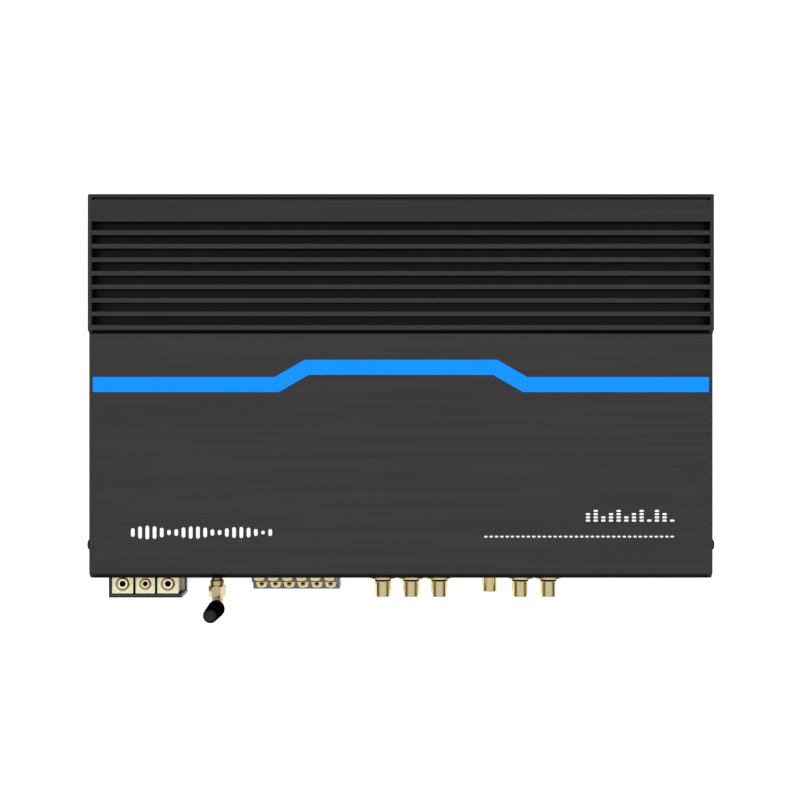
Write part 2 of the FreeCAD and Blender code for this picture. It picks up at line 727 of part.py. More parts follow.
def power_screw(way):
    """One socket set screw standing on its pad."""
    centre = (way["x"], POWER_SCREW_Y)
    bottom = POWER_WIRE_Z + way["wire"] + POWER_PAD_GAP + POWER_PAD_THICK + THREAD_GAP
    body = rod("z", centre, way["screw"], (bottom, POWER_SCREW_TOP))
    body = body.makeChamfer(POWER_SCREW_CHAMFER, [edge for edge in body.Edges if edge.Closed])
    return body.cut(prism("z", centre, 6, way["hex"], (POWER_SCREW_TOP - POWER_HEX_DEPTH, POWER_SCREW_TOP)))


# --- Speaker terminal ---
def speaker_columns():
    """The X of each speaker terminal column."""
    middle = sum(SPEAKER_X) / 2
    return [middle + (n - (SPEAKER_COLUMNS - 1) / 2) * SPEAKER_PITCH for n in range(SPEAKER_COLUMNS)]


def speaker_ways():
    """Every speaker terminal as its tier and its X."""
    return [(tier, x) for tier in SPEAKER_TIERS for x in speaker_columns()]


def cage_y(tier):
    """The (low, high) Y of the contact cages in a tier."""
    front = tier["front"] + SPEAKER_LIP
    return (front, front + CAGE_LENGTH)


def cage_z(tier):
    """The (low, high) Z of the contact cages in a tier."""
    return (tier["top"] - CAGE_DROP, tier["top"] - CAGE_TOP_DROP)


def cage_prism(tier, x, gap, top):
    """A cage's outside, narrower at its front, widened by a gap, up to a height."""
    y0, y1 = grown(cage_y(tier), gap)
    taper = cage_y(tier)[0] + CAGE_TAPER_LENGTH
    wide = CAGE_WIDTH / 2 + gap
    narrow = CAGE_FRONT_WIDTH / 2 + gap
    bottom = cage_z(tier)[0] - gap
    outline = [(-narrow, y0), (narrow, y0), (wide, taper), (wide, y1), (-wide, y1), (-wide, taper)]
    corners = [Vector(x + side, y, bottom) for side, y in outline]
    face = Part.Face(Part.makePolygon(corners + corners[:1]))
    return face.extrude(Vector(0, 0, top - bottom))


def wire_way(tier, x, y):
    """The square wire space of one terminal between two Y positions."""
    floor = cage_z(tier)[0] + WIRE_WAY_FLOOR
    return box(around(x, WIRE_WAY), y, (floor, floor + WIRE_WAY))


def speaker_tail(tier, x, gap):
    """The strip from a cage back and down to the board, widened by a gap."""
    tail_x = grown(around(x, SPEAKER_TAIL_WIDTH), gap)
    top = cage_z(tier)[1] - SPEAKER_TAIL_DROP
    strip_z = grown((top - SPEAKER_TAIL_THICK, top), gap)
    strip = box(tail_x, (cage_y(tier)[1], tier["leg_y"][1] + gap), strip_z)
    leg = box(tail_x, grown(tier["leg_y"], gap), (BOARD_Z[1], strip_z[1]))
    return joined(strip, leg)


def speaker_terminal_housing():
    """The stepped insulating body with a pocket and a wire opening for each terminal."""
    lower, upper = SPEAKER_TIERS
    wings = [
        Vector(SPEAKER_FRONT_X[0], lower["front"], SPEAKER_BOTTOM),
        Vector(SPEAKER_FRONT_X[1], lower["front"], SPEAKER_BOTTOM),
        Vector(SPEAKER_STEP_X[1], upper["front"], SPEAKER_BOTTOM),
        Vector(SPEAKER_STEP_X[0], upper["front"], SPEAKER_BOTTOM),
    ]
    front_face = Part.Face(Part.makePolygon(wings + wings[:1]))
    body = joined(
        front_face.extrude(Vector(0, 0, lower["top"] - SPEAKER_BOTTOM)),
        box(SPEAKER_X, (upper["front"], SPEAKER_BACK), (SPEAKER_BOTTOM, lower["top"])),
        box(SPEAKER_X, (upper["front"], SPEAKER_BACK), (lower["top"], upper["top"])),
    )
    cuts = []
    for tier, x in speaker_ways():
        cuts.append(cage_prism(tier, x, FIT_GAP, tier["top"]))
        cuts.append(wire_way(tier, x, (tier["front"], cage_y(tier)[0] + CAGE_TAPER_LENGTH)))
        cuts.append(speaker_tail(tier, x, FIT_GAP))
    return body.cut(cuts)


def speaker_contact(tier, x):
    """One clamp cage with an eight-sided collar round its screw and a tail to the board."""
    y = cage_y(tier)
    z = cage_z(tier)
    centre = (x, tier["front"] + SPEAKER_SCREW_SETBACK)
    collar = prism("z", centre, 8, COLLAR_FLATS, (z[1], z[1] + COLLAR_HEIGHT), math.pi / 8)
    cage = joined(cage_prism(tier, x, 0, z[1]), collar, speaker_tail(tier, x, 0))
    hole_ends = (z[0] + WIRE_WAY_FLOOR, z[1] + COLLAR_HEIGHT)
    screw_hole = rod("z", centre, SPEAKER_SCREW_RADIUS + THREAD_GAP, hole_ends)
    return cage.cut([wire_way(tier, x, y), screw_hole])


def speaker_screw(tier, x):
    """One small clamp screw with a short deep slot, sunk a little in its collar."""
    centre = (x, tier["front"] + SPEAKER_SCREW_SETBACK)
    top = cage_z(tier)[1] + COLLAR_HEIGHT - SPEAKER_SCREW_RECESS
    body = rod("z", centre, SPEAKER_SCREW_RADIUS, (top - SPEAKER_SCREW_LENGTH, top))
    slot = box(around(centre[0], SLOT_LENGTH), around(centre[1], SLOT_WIDTH), (top - SLOT_DEPTH, top))
    return body.cut(slot)


# --- Phono jacks ---
def jack_housing(columns, jacks):
    """The insulating block behind the panel with one boss through it for each jack."""
    x = grown((columns[0], columns[-1]), JACK_HOUSING_MARGIN)
    body = box(x, JACK_HOUSING_Y, JACK_HOUSING_Z)
    bosses = [rod("y", place, BOSS_RADIUS, (BOSS_FRONT, JACK_HOUSING_Y[0])) for place in jacks]
    body = joined(body, *bosses)
    cuts = [rod("y", place, NECK_RADIUS, (BOSS_FRONT, BARREL_BACK)) for place in jacks]
    cuts += [rod("y", place, SOCKET_RADIUS + SOCKET_WALL, (BARREL_BACK, SOCKET_BACK)) for place in jacks]
    return body.cut(cuts)


def jack_shell(place):
    """A jack's outer contact: a barrel with a round flange."""
    barrel = rod("y", place, BARREL_RADIUS, (BARREL_FRONT, RING_FRONT))
    rim = [edge for edge in barrel.Edges if edge.Closed and edge.CenterOfMass.y < BARREL_FRONT + 0.01]
    barrel = barrel.makeFillet(BARREL_ROUND, rim)
    neck = rod("y", place, NECK_RADIUS, (RING_FRONT, BARREL_BACK))
    flange = rod("y", place, FLANGE_RADIUS, FLANGE_Y)
    return joined(barrel, neck, flange).cut(rod("y", place, BARREL_BORE, (BARREL_FRONT, BARREL_BACK)))


def jack_ring(place):
    """The coloured ring at the foot of a barrel."""
    ends = (RING_FRONT, FLANGE_Y[0])
    return rod("y", place, RING_RADIUS, ends).cut(rod("y", place, NECK_RADIUS, ends))


def jack_insulator(place):
    """The plastic sleeve inside a barrel."""
    ends = (INSULATOR_FRONT, BARREL_BACK)
    return rod("y", place, BARREL_BORE, ends).cut(rod("y", place, SOCKET_RADIUS + SOCKET_WALL, ends))


def jack_centre_contact(place):
    """The tube that takes a plug's pin."""
    outer = rod("y", place, SOCKET_RADIUS + SOCKET_WALL, (SOCKET_FRONT, SOCKET_BACK))
    return outer.cut(rod("y", place, SOCKET_RADIUS, (SOCKET_FRONT, BARREL_BACK)))


# --- Flush sockets ---
def port(outside, side_wall, end_wall, depth):
    """A block with one rectangular opening in its front."""
    x, y, z = outside
    opening = box(grown(x, -side_wall), (y[0], y[0] + depth), grown(z, -end_wall))
    return box(x, y, z).cut(opening)


def usb_socket():
    """A thin steel shell with a contact tongue."""
    x, y, z = USB_SOCKET
    shell = port(USB_SOCKET, USB_WALL, USB_WALL, y[1] - y[0] - USB_BACK_WALL)
    tongue_y = (y[0] + USB_TONGUE_SETBACK, y[1])
    tongue = box(grown(x, -USB_TONGUE_INSET), tongue_y, around(sum(z) / 2, USB_TONGUE))
    return joined(shell, tongue)


def status_light():
    """A round lens with a shoulder behind the panel."""
    lens = rod("y", LAMP_PLACE, LAMP_RADIUS, (FLUSH_FRONT, LAMP_BACK))
    shoulder = rod("y", LAMP_PLACE, LAMP_RADIUS + LAMP_SHOULDER, (FRONT_PANEL[1], LAMP_BACK))
    return joined(lens, shoulder)


# --- Antenna ---
def antenna_jack():
    """The threaded bulkhead jack with its flange behind the panel."""
    centre = (ANTENNA_X, ANTENNA_Z)
    thread = rod("y", centre, THREAD_RADIUS, (JACK_THREAD_FRONT, FRONT_PANEL[1]))
    flange = prism("y", centre, 6, JACK_FLANGE_FLATS, (FRONT_PANEL[1], FRONT_PANEL[1] + JACK_FLANGE_THICK))
    return joined(thread, flange, rod("y", centre, JACK_REAR_RADIUS, (FRONT_PANEL[1], JACK_REAR_Y)))


def antenna_jack_nut():
    """The nut in front of the panel."""
    centre = (ANTENNA_X, ANTENNA_Z)
    ends = (FRONT_PANEL[0] - PANEL_NUT_THICK, FRONT_PANEL[0])
    return prism("y", centre, 6, JACK_FLANGE_FLATS, ends).cut(rod("y", centre, THREAD_RADIUS, ends))


def antenna_coupling_nut():
    """The free-spinning nut that holds the antenna on the jack."""
    centre = (ANTENNA_X, ANTENNA_Z)
    body = joined(
        prism("y", centre, 6, COUPLING_FLATS, COUPLING_Y),
        rod("y", centre, COUPLING_COLLAR_RADIUS, (COUPLING_Y[1], COUPLING_COLLAR_BACK)),
    )
    return body.cut([
        rod("y", centre, THREAD_RADIUS + THREAD_GAP, (COUPLING_SHOULDER, COUPLING_COLLAR_BACK)),
        rod("y", centre, FERRULE_RADIUS + THREAD_GAP, (COUPLING_Y[0], COUPLING_SHOULDER)),
    ])


def antenna_elbow():
    """The right-angle body: a ferrule into the nut and an upright stem."""
    centre = (ANTENNA_X, ANTENNA_Z)
    upright = (ANTENNA_X, ANTENNA_Y)
    return joined(
        rod("z", upright, ELBOW_RADIUS, ELBOW_Z),
        rod("y", centre, FERRULE_HEAD_RADIUS, (ANTENNA_Y, FERRULE_HEAD_BACK)),
        rod("y", centre, FERRULE_RADIUS, (ANTENNA_Y, FERRULE_FLANGE[1])),
        rod("y", centre, THREAD_RADIUS - FIT_GAP, FERRULE_FLANGE),
        rod("z", upright, STEM_RADIUS, (ELBOW_Z[1], STEM_TOP)),
    )


def antenna_sleeve():
    """The tapered rubber sleeve with a rounded tip over the stem."""
    upright = (ANTENNA_X, ANTENNA_Y)
    foot = spot("z", upright, ELBOW_Z[1])
    sleeve = Part.makeCone(*SLEEVE_RADII, SLEEVE_TOP - ELBOW_Z[1], foot, direction("z"))
    tip = [edge for edge in sleeve.Edges if edge.Closed and edge.CenterOfMass.z > SLEEVE_TOP - 0.01]
    sleeve = sleeve.makeFillet(SLEEVE_TIP, tip)
    return sleeve.cut(rod("z", upright, STEM_RADIUS, (ELBOW_Z[1], STEM_TOP)))


def antenna_lead():
    """The coaxial lead from the jack to the radio module: two runs and one arc."""
    start = Vector(ANTENNA_X, JACK_REAR_Y, ANTENNA_Z)
    corner = Vector(ANTENNA_X, LEAD_TURN_Y, ANTENNA_Z)
    end = Vector(ANTENNA_X, LEAD_TURN_Y, RADIO_MODULE[2][1])
    radius = 0.45 * min((corner - start).Length, (end - corner).Length)
    arc_start = corner - Vector(0, radius, 0)
    arc_end = corner - Vector(0, 0, radius)
    short = radius * (1 - math.sqrt(0.5))
    arc_middle = corner - Vector(0, short, short)
    path = Part.Wire([
        Part.LineSegment(start, arc_start).toShape(),
        Part.Arc(arc_start, arc_middle, arc_end).toShape(),
        Part.LineSegment(arc_end, end).toShape(),
    ])
    print("antenna lead arc radius", round(radius, 2), "length", round(path.Length, 1))
    circle = Part.Wire(Part.makeCircle(LEAD_RADIUS, start, direction("y")))
    return path.makePipeShell([circle], True, False)


def main():
    os.makedirs("parts", exist_ok=True)
    save("heatsink_cover", [heatsink_cover()])
    save("accent_stripe", [stripe_solid(0, PANEL_TOP - STRIPE_DEPTH, PANEL_TOP + STRIPE_PROUD)])
    save("end_plate_left", [end_plate(-1)])
    save("end_plate_right", [end_plate(1)])
    save("end_plate_screws", end_plate_screws())
    save("base_plate", [base_plate()])
    save("base_plate_screws", base_plate_screws())
    save("mounting_nuts", mounting_nuts())
    save("front_panel", [front_panel()])

    save("main_board", [main_board()])
    save("board_standoffs", board_standoffs())
    save("internal_screws", internal_screws())
    save("amplifier_chips", amplifier_chips())
    save("thermal_pads", thermal_pads())
    save("chip_clamp_bar", [chip_clamp_bar()])
    save("filter_capacitors", filter_capacitors())
    save("transformer_core", [transformer_core()])
    save("transformer_winding", transformer_winding())
    save("signal_board", [box(*SIGNAL_BOARD)])
    save("signal_board_posts", signal_board_posts())
    save("signal_processor", [signal_processor()])
    save("radio_module", [box(*RADIO_MODULE)])
    save("antenna_lead", [antenna_lead()])

    save("power_terminal_housing", [power_terminal_housing()])
    save("power_terminal_contacts", [power_contact(way) for way in POWER_WAYS])
    for way in POWER_WAYS:
        save("power_pad_" + way["name"], [power_pad(way)])
        save("power_screw_" + way["name"], [power_screw(way)])

    save("speaker_terminal_housing", [speaker_terminal_housing()])
    save("speaker_terminal_contacts", [speaker_contact(tier, x) for tier, x in speaker_ways()])
    for number, (tier, x) in enumerate(speaker_ways(), 1):
        save("speaker_screw_%02d" % number, [speaker_screw(tier, x)])

    jacks = INPUT_JACKS + OUTPUT_JACKS
    save("input_jack_housing", [jack_housing(INPUT_COLUMNS, INPUT_JACKS)])
    save("output_jack_housing", [jack_housing(OUTPUT_COLUMNS, OUTPUT_JACKS)])
    save("jack_shells", [jack_shell(place) for place in jacks])
    save("jack_rings", [jack_ring(place) for place in jacks])
    save("jack_insulators", [jack_insulator(place) for place in jacks])
    save("jack_centre_contacts", [jack_centre_contact(place) for place in jacks])

    save("optical_port", [port(OPTICAL_PORT, OPTICAL_WALL, OPTICAL_WALL, OPTICAL_DEPTH)])
    save("control_port", [port(CONTROL_PORT, *CONTROL_WALLS, CONTROL_DEPTH)])
    save("usb_socket", [usb_socket()])
    save("status_light", [status_light()])

    save("antenna_jack", [antenna_jack()])
    save("antenna_jack_nut", [antenna_jack_nut()])
    save("antenna_coupling_nut", [antenna_coupling_nut()])
    save("antenna_elbow", [antenna_elbow()])
    save("antenna_sleeve", [antenna_sleeve()])


main()
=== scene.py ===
import json
import math

import bmesh
import bpy
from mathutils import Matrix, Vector


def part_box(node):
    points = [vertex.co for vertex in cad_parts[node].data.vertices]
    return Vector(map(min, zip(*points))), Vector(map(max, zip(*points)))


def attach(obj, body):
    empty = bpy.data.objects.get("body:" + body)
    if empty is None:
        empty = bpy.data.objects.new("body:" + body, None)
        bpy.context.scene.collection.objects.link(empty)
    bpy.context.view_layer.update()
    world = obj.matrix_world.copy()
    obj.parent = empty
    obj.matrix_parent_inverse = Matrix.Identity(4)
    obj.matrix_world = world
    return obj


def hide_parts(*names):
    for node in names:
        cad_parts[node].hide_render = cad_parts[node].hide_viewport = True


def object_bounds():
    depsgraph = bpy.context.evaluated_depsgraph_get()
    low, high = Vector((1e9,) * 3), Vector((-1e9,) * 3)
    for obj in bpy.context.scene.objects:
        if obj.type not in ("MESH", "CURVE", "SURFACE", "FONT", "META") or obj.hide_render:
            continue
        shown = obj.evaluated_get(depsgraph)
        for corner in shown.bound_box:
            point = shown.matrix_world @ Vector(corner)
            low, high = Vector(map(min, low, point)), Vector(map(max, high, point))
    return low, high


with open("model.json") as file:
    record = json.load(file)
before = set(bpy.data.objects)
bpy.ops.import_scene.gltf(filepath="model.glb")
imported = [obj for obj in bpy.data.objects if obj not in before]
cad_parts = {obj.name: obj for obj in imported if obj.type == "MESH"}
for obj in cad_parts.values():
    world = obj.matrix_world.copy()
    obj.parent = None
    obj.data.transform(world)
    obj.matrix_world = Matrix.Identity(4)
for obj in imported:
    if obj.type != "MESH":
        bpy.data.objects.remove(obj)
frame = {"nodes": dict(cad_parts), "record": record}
cad_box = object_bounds()
nodes = frame["nodes"]
mounts = {mount["name"]: mount for mount in frame["record"]["mounts"]}
MM = 0.001

# --- Camera and room ---
CAMERA_X = 0.0
CAMERA_Y = -1.28
CAMERA_HEIGHT = 679.0
CAMERA_LENS = 55.09
CAMERA_SHIFT = (-0.0011, -0.01375)
FLOOR_HALF = 4000.0
FLOOR_DROP = 0.15
FLOOR_GLOW = 0.72
OVERHEAD_HEIGHT = 1500.0
OVERHEAD_SIZE = 1800.0
OVERHEAD_POWER = 27.0
# The room's colour by the height of the direction, from straight down to straight up.
ROOM_BELOW = (1.05, 1.05, 1.05)
ROOM_DUSK = (0.12, 0.096, 0.062)
ROOM_RISE = (0.5, 0.5, 0.5)
ROOM_ABOVE = (0.62, 0.62, 0.62)
ROOM_STOPS = (
    (-1.0, ROOM_BELOW), (-0.2, ROOM_BELOW), (-0.08, ROOM_DUSK), (0.45, ROOM_DUSK),
    (0.66, ROOM_RISE), (0.9, ROOM_ABOVE), (1.0, ROOM_ABOVE))
BACKDROP = (1.0, 1.0, 1.0)

# --- Phono jacks ---
BARREL_RADIUS = 4.15
BARREL_BORE = 3.4
NECK_RADIUS = 3.85
FLANGE_RADIUS = 7.1
FLANGE_THICK = 1.3
RING_RADIUS = 4.4
SOCKET_RADIUS = 1.65
SOCKET_WALL = 0.35
CUP_DEPTH = 0.7
JACK_EDGE = 0.16

# --- Antenna ---
THREAD_RADIUS = 3.1
THREAD_DEPTH = 0.32
THREAD_PITCH = 0.7
THREAD_STEPS = 8
THREAD_GAP = 0.05
NUT_FLATS = 8.0
NUT_CHAMFER = 0.55
COLLAR_RADIUS = 3.75
COLLAR_LENGTH = 2.6
FERRULE_RADIUS = 2.6
FERRULE_GAP = 0.2
FERRULE_HEAD_RADIUS = 3.1
FLUTES = 14
FLUTE_DEPTH = 0.22
ELBOW_RADIUS = 3.1
STEM_RADIUS = 2.5
SLEEVE_RADII = (4.6, 3.9)
SLEEVE_TIP = 2.4
TIP_STEPS = 12

# --- Printed marks on the flat deck ---
PRINT_HEIGHT = 0.03
BAR_STEPS = 6
STRIPE_PROUD = 0.15
WAVE_X = (-137.5, -67.0)
WAVE_Y = -74.9
WAVE_TALL = 7.2
WAVE_BARS = 20
WAVE_THICK = 1.9
WAVE_SWELLS = 3
WAVE_START = 0.5
WAVE_FADE = 0.35
METER_X = (96.0, 139.2)
METER_Y = (-69.6, -63.0)
METER_COLUMNS = 12
METER_LEVELS = 4
METER_SEGMENT = (2.3, 1.05)
METER_RATE = 1.1
METER_START = 0.6
RULE_X = (43.6, 139.2)
RULE_Y = -77.0
RULE_DASHES = 36
RULE_DASH = (1.7, 0.9)

# --- Surface detail ---
# How much finer the noise is along X, Y and Z: drawn lines, broad streaks and handling marks.
DRAWN_LINES = (14, 2600, 2600)
BROAD_STREAKS = (5, 160, 160)
HANDLING = (60, 60, 60)
HANDLING_SCALE = 60.0
HANDLING_TINT = (0.94, 1.04)
HANDLING_RELIEF = 0.006 * MM
POLISH_SCALE = 420.0
LINE_RELIEF = 0.012 * MM
PAINT_RELIEF = 0.003 * MM
MOULD_RELIEF = 0.02 * MM
# The middle part of a noise value, where most of it lies.
NOISE_SPAN = (0.3, 0.7)


# --- Materials ---
def set_inputs(node, **values):
    """Set a shader node's sockets by name, with underscores for spaces."""
    for name, value in values.items():
        node.inputs[name.replace("_", " ")].default_value = value


def set_stops(color_ramp, stops):
    """Set a colour ramp's stops, each a position from 0 to 1 and a colour."""
    elements = color_ramp.elements
    while len(elements) < len(stops):
        elements.new(0.5)
    for element, (position, color) in zip(elements, stops):
        element.position = position
        element.color = (*color, 1.0)


class Surface:
    """A material under construction: its nodes, its links and its main shader."""

    def __init__(self, name, color, **shader):
        self.material = bpy.data.materials.new(name)
        self.material.use_nodes = True
        self.tree = self.material.node_tree
        self.shader = self.tree.nodes["Principled BSDF"]
        self.color = color
        set_inputs(self.shader, Base_Color=(*color, 1.0), **shader)
        self.place = self.add("ShaderNodeTexCoord").outputs["Object"]

    def add(self, kind, **values):
        node = self.tree.nodes.new(kind)
        set_inputs(node, **values)
        return node

    def link(self, source, target):
        self.tree.links.new(source, target)

    def noise(self, scale, stretch=(1, 1, 1), detail=3.0, roughness=0.6):
        """A noise value over the surface, stretched by scaling the coordinates."""
        mapping = self.add("ShaderNodeMapping", Scale=stretch)
        self.link(self.place, mapping.inputs["Vector"])
        noise = self.add("ShaderNodeTexNoise", Scale=scale, Detail=detail, Roughness=roughness)
        self.link(mapping.outputs["Vector"], noise.inputs["Vector"])
        return noise.outputs["Fac"]

    def axis(self, name):
        """One coordinate over the surface, in metres."""
        split = self.add("ShaderNodeSeparateXYZ")
        self.link(self.place, split.inputs["Vector"])
        return split.outputs[name]

    def between(self, axis, low, high, soft=0.3):
        """1 where a coordinate lies between two limits in millimetres and 0 outside them."""
        rise = self.remap(self.axis(axis), 0.0, 1.0, (low - soft) * MM, low * MM)
        fall = self.remap(self.axis(axis), 1.0, 0.0, high * MM, (high + soft) * MM)
        return self.math("MULTIPLY", rise, fall)

    def math(self, operation, first, second):
        node = self.add("ShaderNodeMath")
        node.operation = operation
        self.link(first, node.inputs[0])
        self.link(second, node.inputs[1])
        return node.outputs["Value"]

    def ramp(self, value, stops):
        """Colours along a coordinate, from a list of (millimetres, colour) stops."""
        low, high = stops[0][0], stops[-1][0]
        node = self.add("ShaderNodeValToRGB")
        set_stops(node.color_ramp, [((at - low) / (high - low), color) for at, color in stops])
        self.link(self.remap(value, 0.0, 1.0, low * MM, high * MM), node.inputs["Fac"])
        return node.outputs["Color"]

    def worn(self, color, value, dark, light):
        """A colour made a little darker and lighter by a value."""
        node = self.add("ShaderNodeHueSaturation")
        self.link(color, node.inputs["Color"])
        self.link(self.remap(value, dark, light, *NOISE_SPAN), node.inputs["Value"])
        return node.outputs["Color"]

    def remap(self, value, low, high, start=0.0, end=1.0):
        """A value mapped from one range onto another."""
        node = self.add("ShaderNodeMapRange", From_Min=start, From_Max=end, To_Min=low, To_Max=high)
        self.link(value, node.inputs["Value"])
        return node.outputs["Result"]

    def blend(self, value, first, second):
        """A colour between two colours or colour sockets."""
        mix = self.add("ShaderNodeMix")
        mix.data_type = "RGBA"
        sockets = [socket for socket in mix.inputs if socket.type == "RGBA"]
        for socket, color in zip(sockets, (first, second)):
            if isinstance(color, tuple):
                socket.default_value = (*color, 1.0)
            else:
                self.link(color, socket)
        self.link(value, mix.inputs["Factor"])
        return [socket for socket in mix.outputs if socket.type == "RGBA"][0]

    def tint(self, value, dark, light):
        """Vary the base colour between a darker and a lighter version of itself."""
        ends = [tuple(min(1.0, part * factor) for part in self.color) for factor in (dark, light)]
        self.link(self.blend(value, *ends), self.shader.inputs["Base Color"])

    def rough(self, value, low, high):
        self.link(self.remap(value, low, high, *NOISE_SPAN), self.shader.inputs["Roughness"])

    def bump(self, value, height, strength=1.0):
        """Surface relief of a height in metres."""
        node = self.add("ShaderNodeBump", Strength=strength, Distance=height)
        self.link(value, node.inputs["Height"])
        self.link(node.outputs["Normal"], self.shader.inputs["Normal"])


def anodised(name, color, rough=(0.24, 0.3), grooves=False):
    """Extruded and black anodised aluminium with fine lines along X; with grooves it also gets painted
    shade in its grooves and along its front edge, step and back band.
    """
    surface = Surface(name, color, Metallic=ANODISED_METAL, Specular_Tint=(*EDGE_TINT, 1.0))
    lines = surface.noise(1.0, DRAWN_LINES, detail=4.0)
    broad = surface.noise(1.0, BROAD_STREAKS, detail=2.0)
    line_share = surface.remap(lines, 0, 0.6, *NOISE_SPAN)
    broad_share = surface.remap(broad, 0, 0.4, *NOISE_SPAN)
    both = surface.math("ADD", line_share, broad_share)
    if grooves:
        paint_cover_shade(surface, both)
    else:
        surface.tint(both, *STREAKS)
    surface.rough(broad, *rough)
    surface.bump(lines, LINE_RELIEF, 0.5)
    return surface.material


def paint_cover_shade(surface, streaks):
    """Paint shade on the cover: darker towards its front edge, on its step and at its back band, and its
    grooves matt and painted dark as shade.
    """
    # Painted shade down in the grooves: dark floors and darker walls.
    shades = [(height, (shade, shade, shade)) for height, shade in GROOVE_SHADES]
    depth = surface.ramp(surface.axis("Z"), shades)
    along = surface.between("Y", *GROOVE_SPAN)
    inside = surface.math("MULTIPLY", along, surface.between("Z", 0, GROOVE_LINE))
    # Painted shade on the front edge and lip, on the step and on the back band.
    tones = [(place, tuple(part * shade for part in surface.color)) for place, shade in BAND_SHADES]
    outside = surface.worn(surface.ramp(surface.axis("Y"), tones), streaks, *STREAKS)
    surface.link(surface.blend(inside, outside, depth), surface.shader.inputs["Base Color"])
    surface.link(surface.remap(inside, ANODISED_METAL, 0.0), surface.shader.inputs["Metallic"])


def painted(name, color):
    """Satin paint over fine lines along X."""
    surface = Surface(name, color, Specular_IOR_Level=0.08)
    lines = surface.noise(1.0, DRAWN_LINES, detail=4.0)
    surface.tint(surface.remap(lines, 0, 1, *NOISE_SPAN), 0.96, 1.04)
    surface.rough(surface.noise(200.0), 0.4, 0.5)
    surface.bump(lines, PAINT_RELIEF, 0.5)
    return surface.material


def brushed(name, color, metallic=1.0, rough=(0.2, 0.3)):
    """Plated or machined metal with faint handling marks."""
    surface = Surface(name, color, Metallic=metallic)
    marks = surface.noise(HANDLING_SCALE, HANDLING, detail=4.0)
    surface.tint(surface.remap(marks, 0, 1, *NOISE_SPAN), *HANDLING_TINT)
    surface.rough(surface.noise(POLISH_SCALE), *rough)
    surface.bump(marks, HANDLING_RELIEF, 0.4)
    return surface.material


def light_and_shade_by_height(name, layers, metallic=0.15, rough=(0.26, 0.36), gloss=0.5):
    """Plating or rubber whose tone changes with height as painted light and shade: its layers are
    (millimetres, colour).
    """
    surface = Surface(name, layers[-1][1], Metallic=metallic, Specular_IOR_Level=gloss)
    marks = surface.noise(HANDLING_SCALE, HANDLING, detail=4.0)
    tone = surface.worn(surface.ramp(surface.axis("Z"), layers), marks, *HANDLING_TINT)
    surface.link(tone, surface.shader.inputs["Base Color"])
    surface.rough(surface.noise(POLISH_SCALE), *rough)
    surface.bump(marks, HANDLING_RELIEF, 0.4)
    return surface.material


def moulded(name, color, rough=(0.42, 0.55), relief=MOULD_RELIEF, grain=2600.0, gloss=0.45):
    """Moulded plastic with a fine spark-eroded grain."""
    surface = Surface(name, color, Specular_IOR_Level=gloss)
    grains = surface.noise(grain, detail=2.0)
    surface.tint(surface.noise(150.0), 0.86, 1.12)
    surface.rough(surface.noise(500.0), *rough)
    surface.bump(grains, relief, 0.5)
    return surface.material


def circuit_board(name, color):
    """Solder mask over copper traces that run in two directions."""
    surface = Surface(name, color, Specular_IOR_Level=0.5)
    traces = surface.add("ShaderNodeTexBrick", Scale=160.0, Mortar_Size=0.03, Mortar_Smooth=0.1)
    surface.link(surface.place, traces.inputs["Vector"])
    surface.tint(surface.remap(traces.outputs["Fac"], 1, 0), 0.8, 1.9)
    surface.rough(surface.noise(300.0), 0.3, 0.42)
    surface.bump(traces.outputs["Fac"], 0.03 * MM, 0.6)
    return surface.material


def floor_paper(name, color, glow):
    """White paper that is lit evenly from behind, so that it stays pale beside the object."""
    surface = Surface(name, color, Specular_IOR_Level=0.0, Emission_Strength=glow)
    set_inputs(surface.shader, Emission_Color=(1.0, 1.0, 1.0, 1.0), Roughness=0.9)
    surface.tint(surface.noise(40.0), 0.98, 1.02)
    surface.bump(surface.noise(300.0), 0.02 * MM, 0.3)
    return surface.material


def lens(name, color):
    """Clear tinted plastic."""
    surface = Surface(name, color, Transmission_Weight=0.7, IOR=1.49)
    surface.rough(surface.noise(700.0), 0.08, 0.16)
    surface.bump(surface.noise(900.0), 0.01 * MM, 0.3)
    return surface.material


# --- Colours, with painted light and shade among them, and the heights and places where they change ---
CASE_BLACK = (0.0518, 0.0518, 0.0521)
# Tones for the power clamps and speaker contacts, which paint light and shade by height: lit faces and
# rims, shaded sides, recesses and collars, painted reflection in the countersink and near the clamps'
# ledge, and painted highlights on edges. DEEP_GOLD is also the power pads' own plating.
FACE_CREAM = (0.7, 0.7, 0.44)
HIGHLIGHT_CREAM = (1.0, 0.96, 0.7)
SINK_REFLECTION_GOLD = (0.95, 0.64, 0.3)
DEEP_GOLD = (0.8, 0.5, 0.2)
SHADE_BROWN = (0.24, 0.14, 0.05)
SIDE_SHADE = (0.13, 0.105, 0.07)
FOOT_REFLECTION_GOLD = (0.58, 0.47, 0.29)
WARM_GOLD = (0.82, 0.56, 0.22)
RIM_GOLD = (0.86, 0.7, 0.38)
# A darker face for the lower row of speaker screws than for the upper row.
LOWER_SCREW_FACE = (0.3, 0.2, 0.08)
# Painted shade for screw sockets and slots.
SOCKET_SHADE = (0.001, 0.001, 0.001)
RUBBER_BLACK = (0.0012, 0.0012, 0.0012)
# Painted highlight on the rubber sleeve's tip.
RUBBER_TIP_HIGHLIGHT = (0.024, 0.023, 0.023)
EDGE_TINT = (0.05, 0.05, 0.05)
ANODISED_METAL = 0.7
STREAKS = (0.93, 1.07)
FRONT_EDGE = -98.5
FRONT_LIP = (-96.6, -96.1)
STEP_FOOT = 27.02
STEP_TOP = 29.02
STEP_SHADE = 0.2
STEP_SOFT = 0.1
GROOVE_SPAN = (29.2, 84.4)
GROOVE_FLOOR = 43.2
GROOVE_LINE = 52.6
BACK_BAND = 84.9
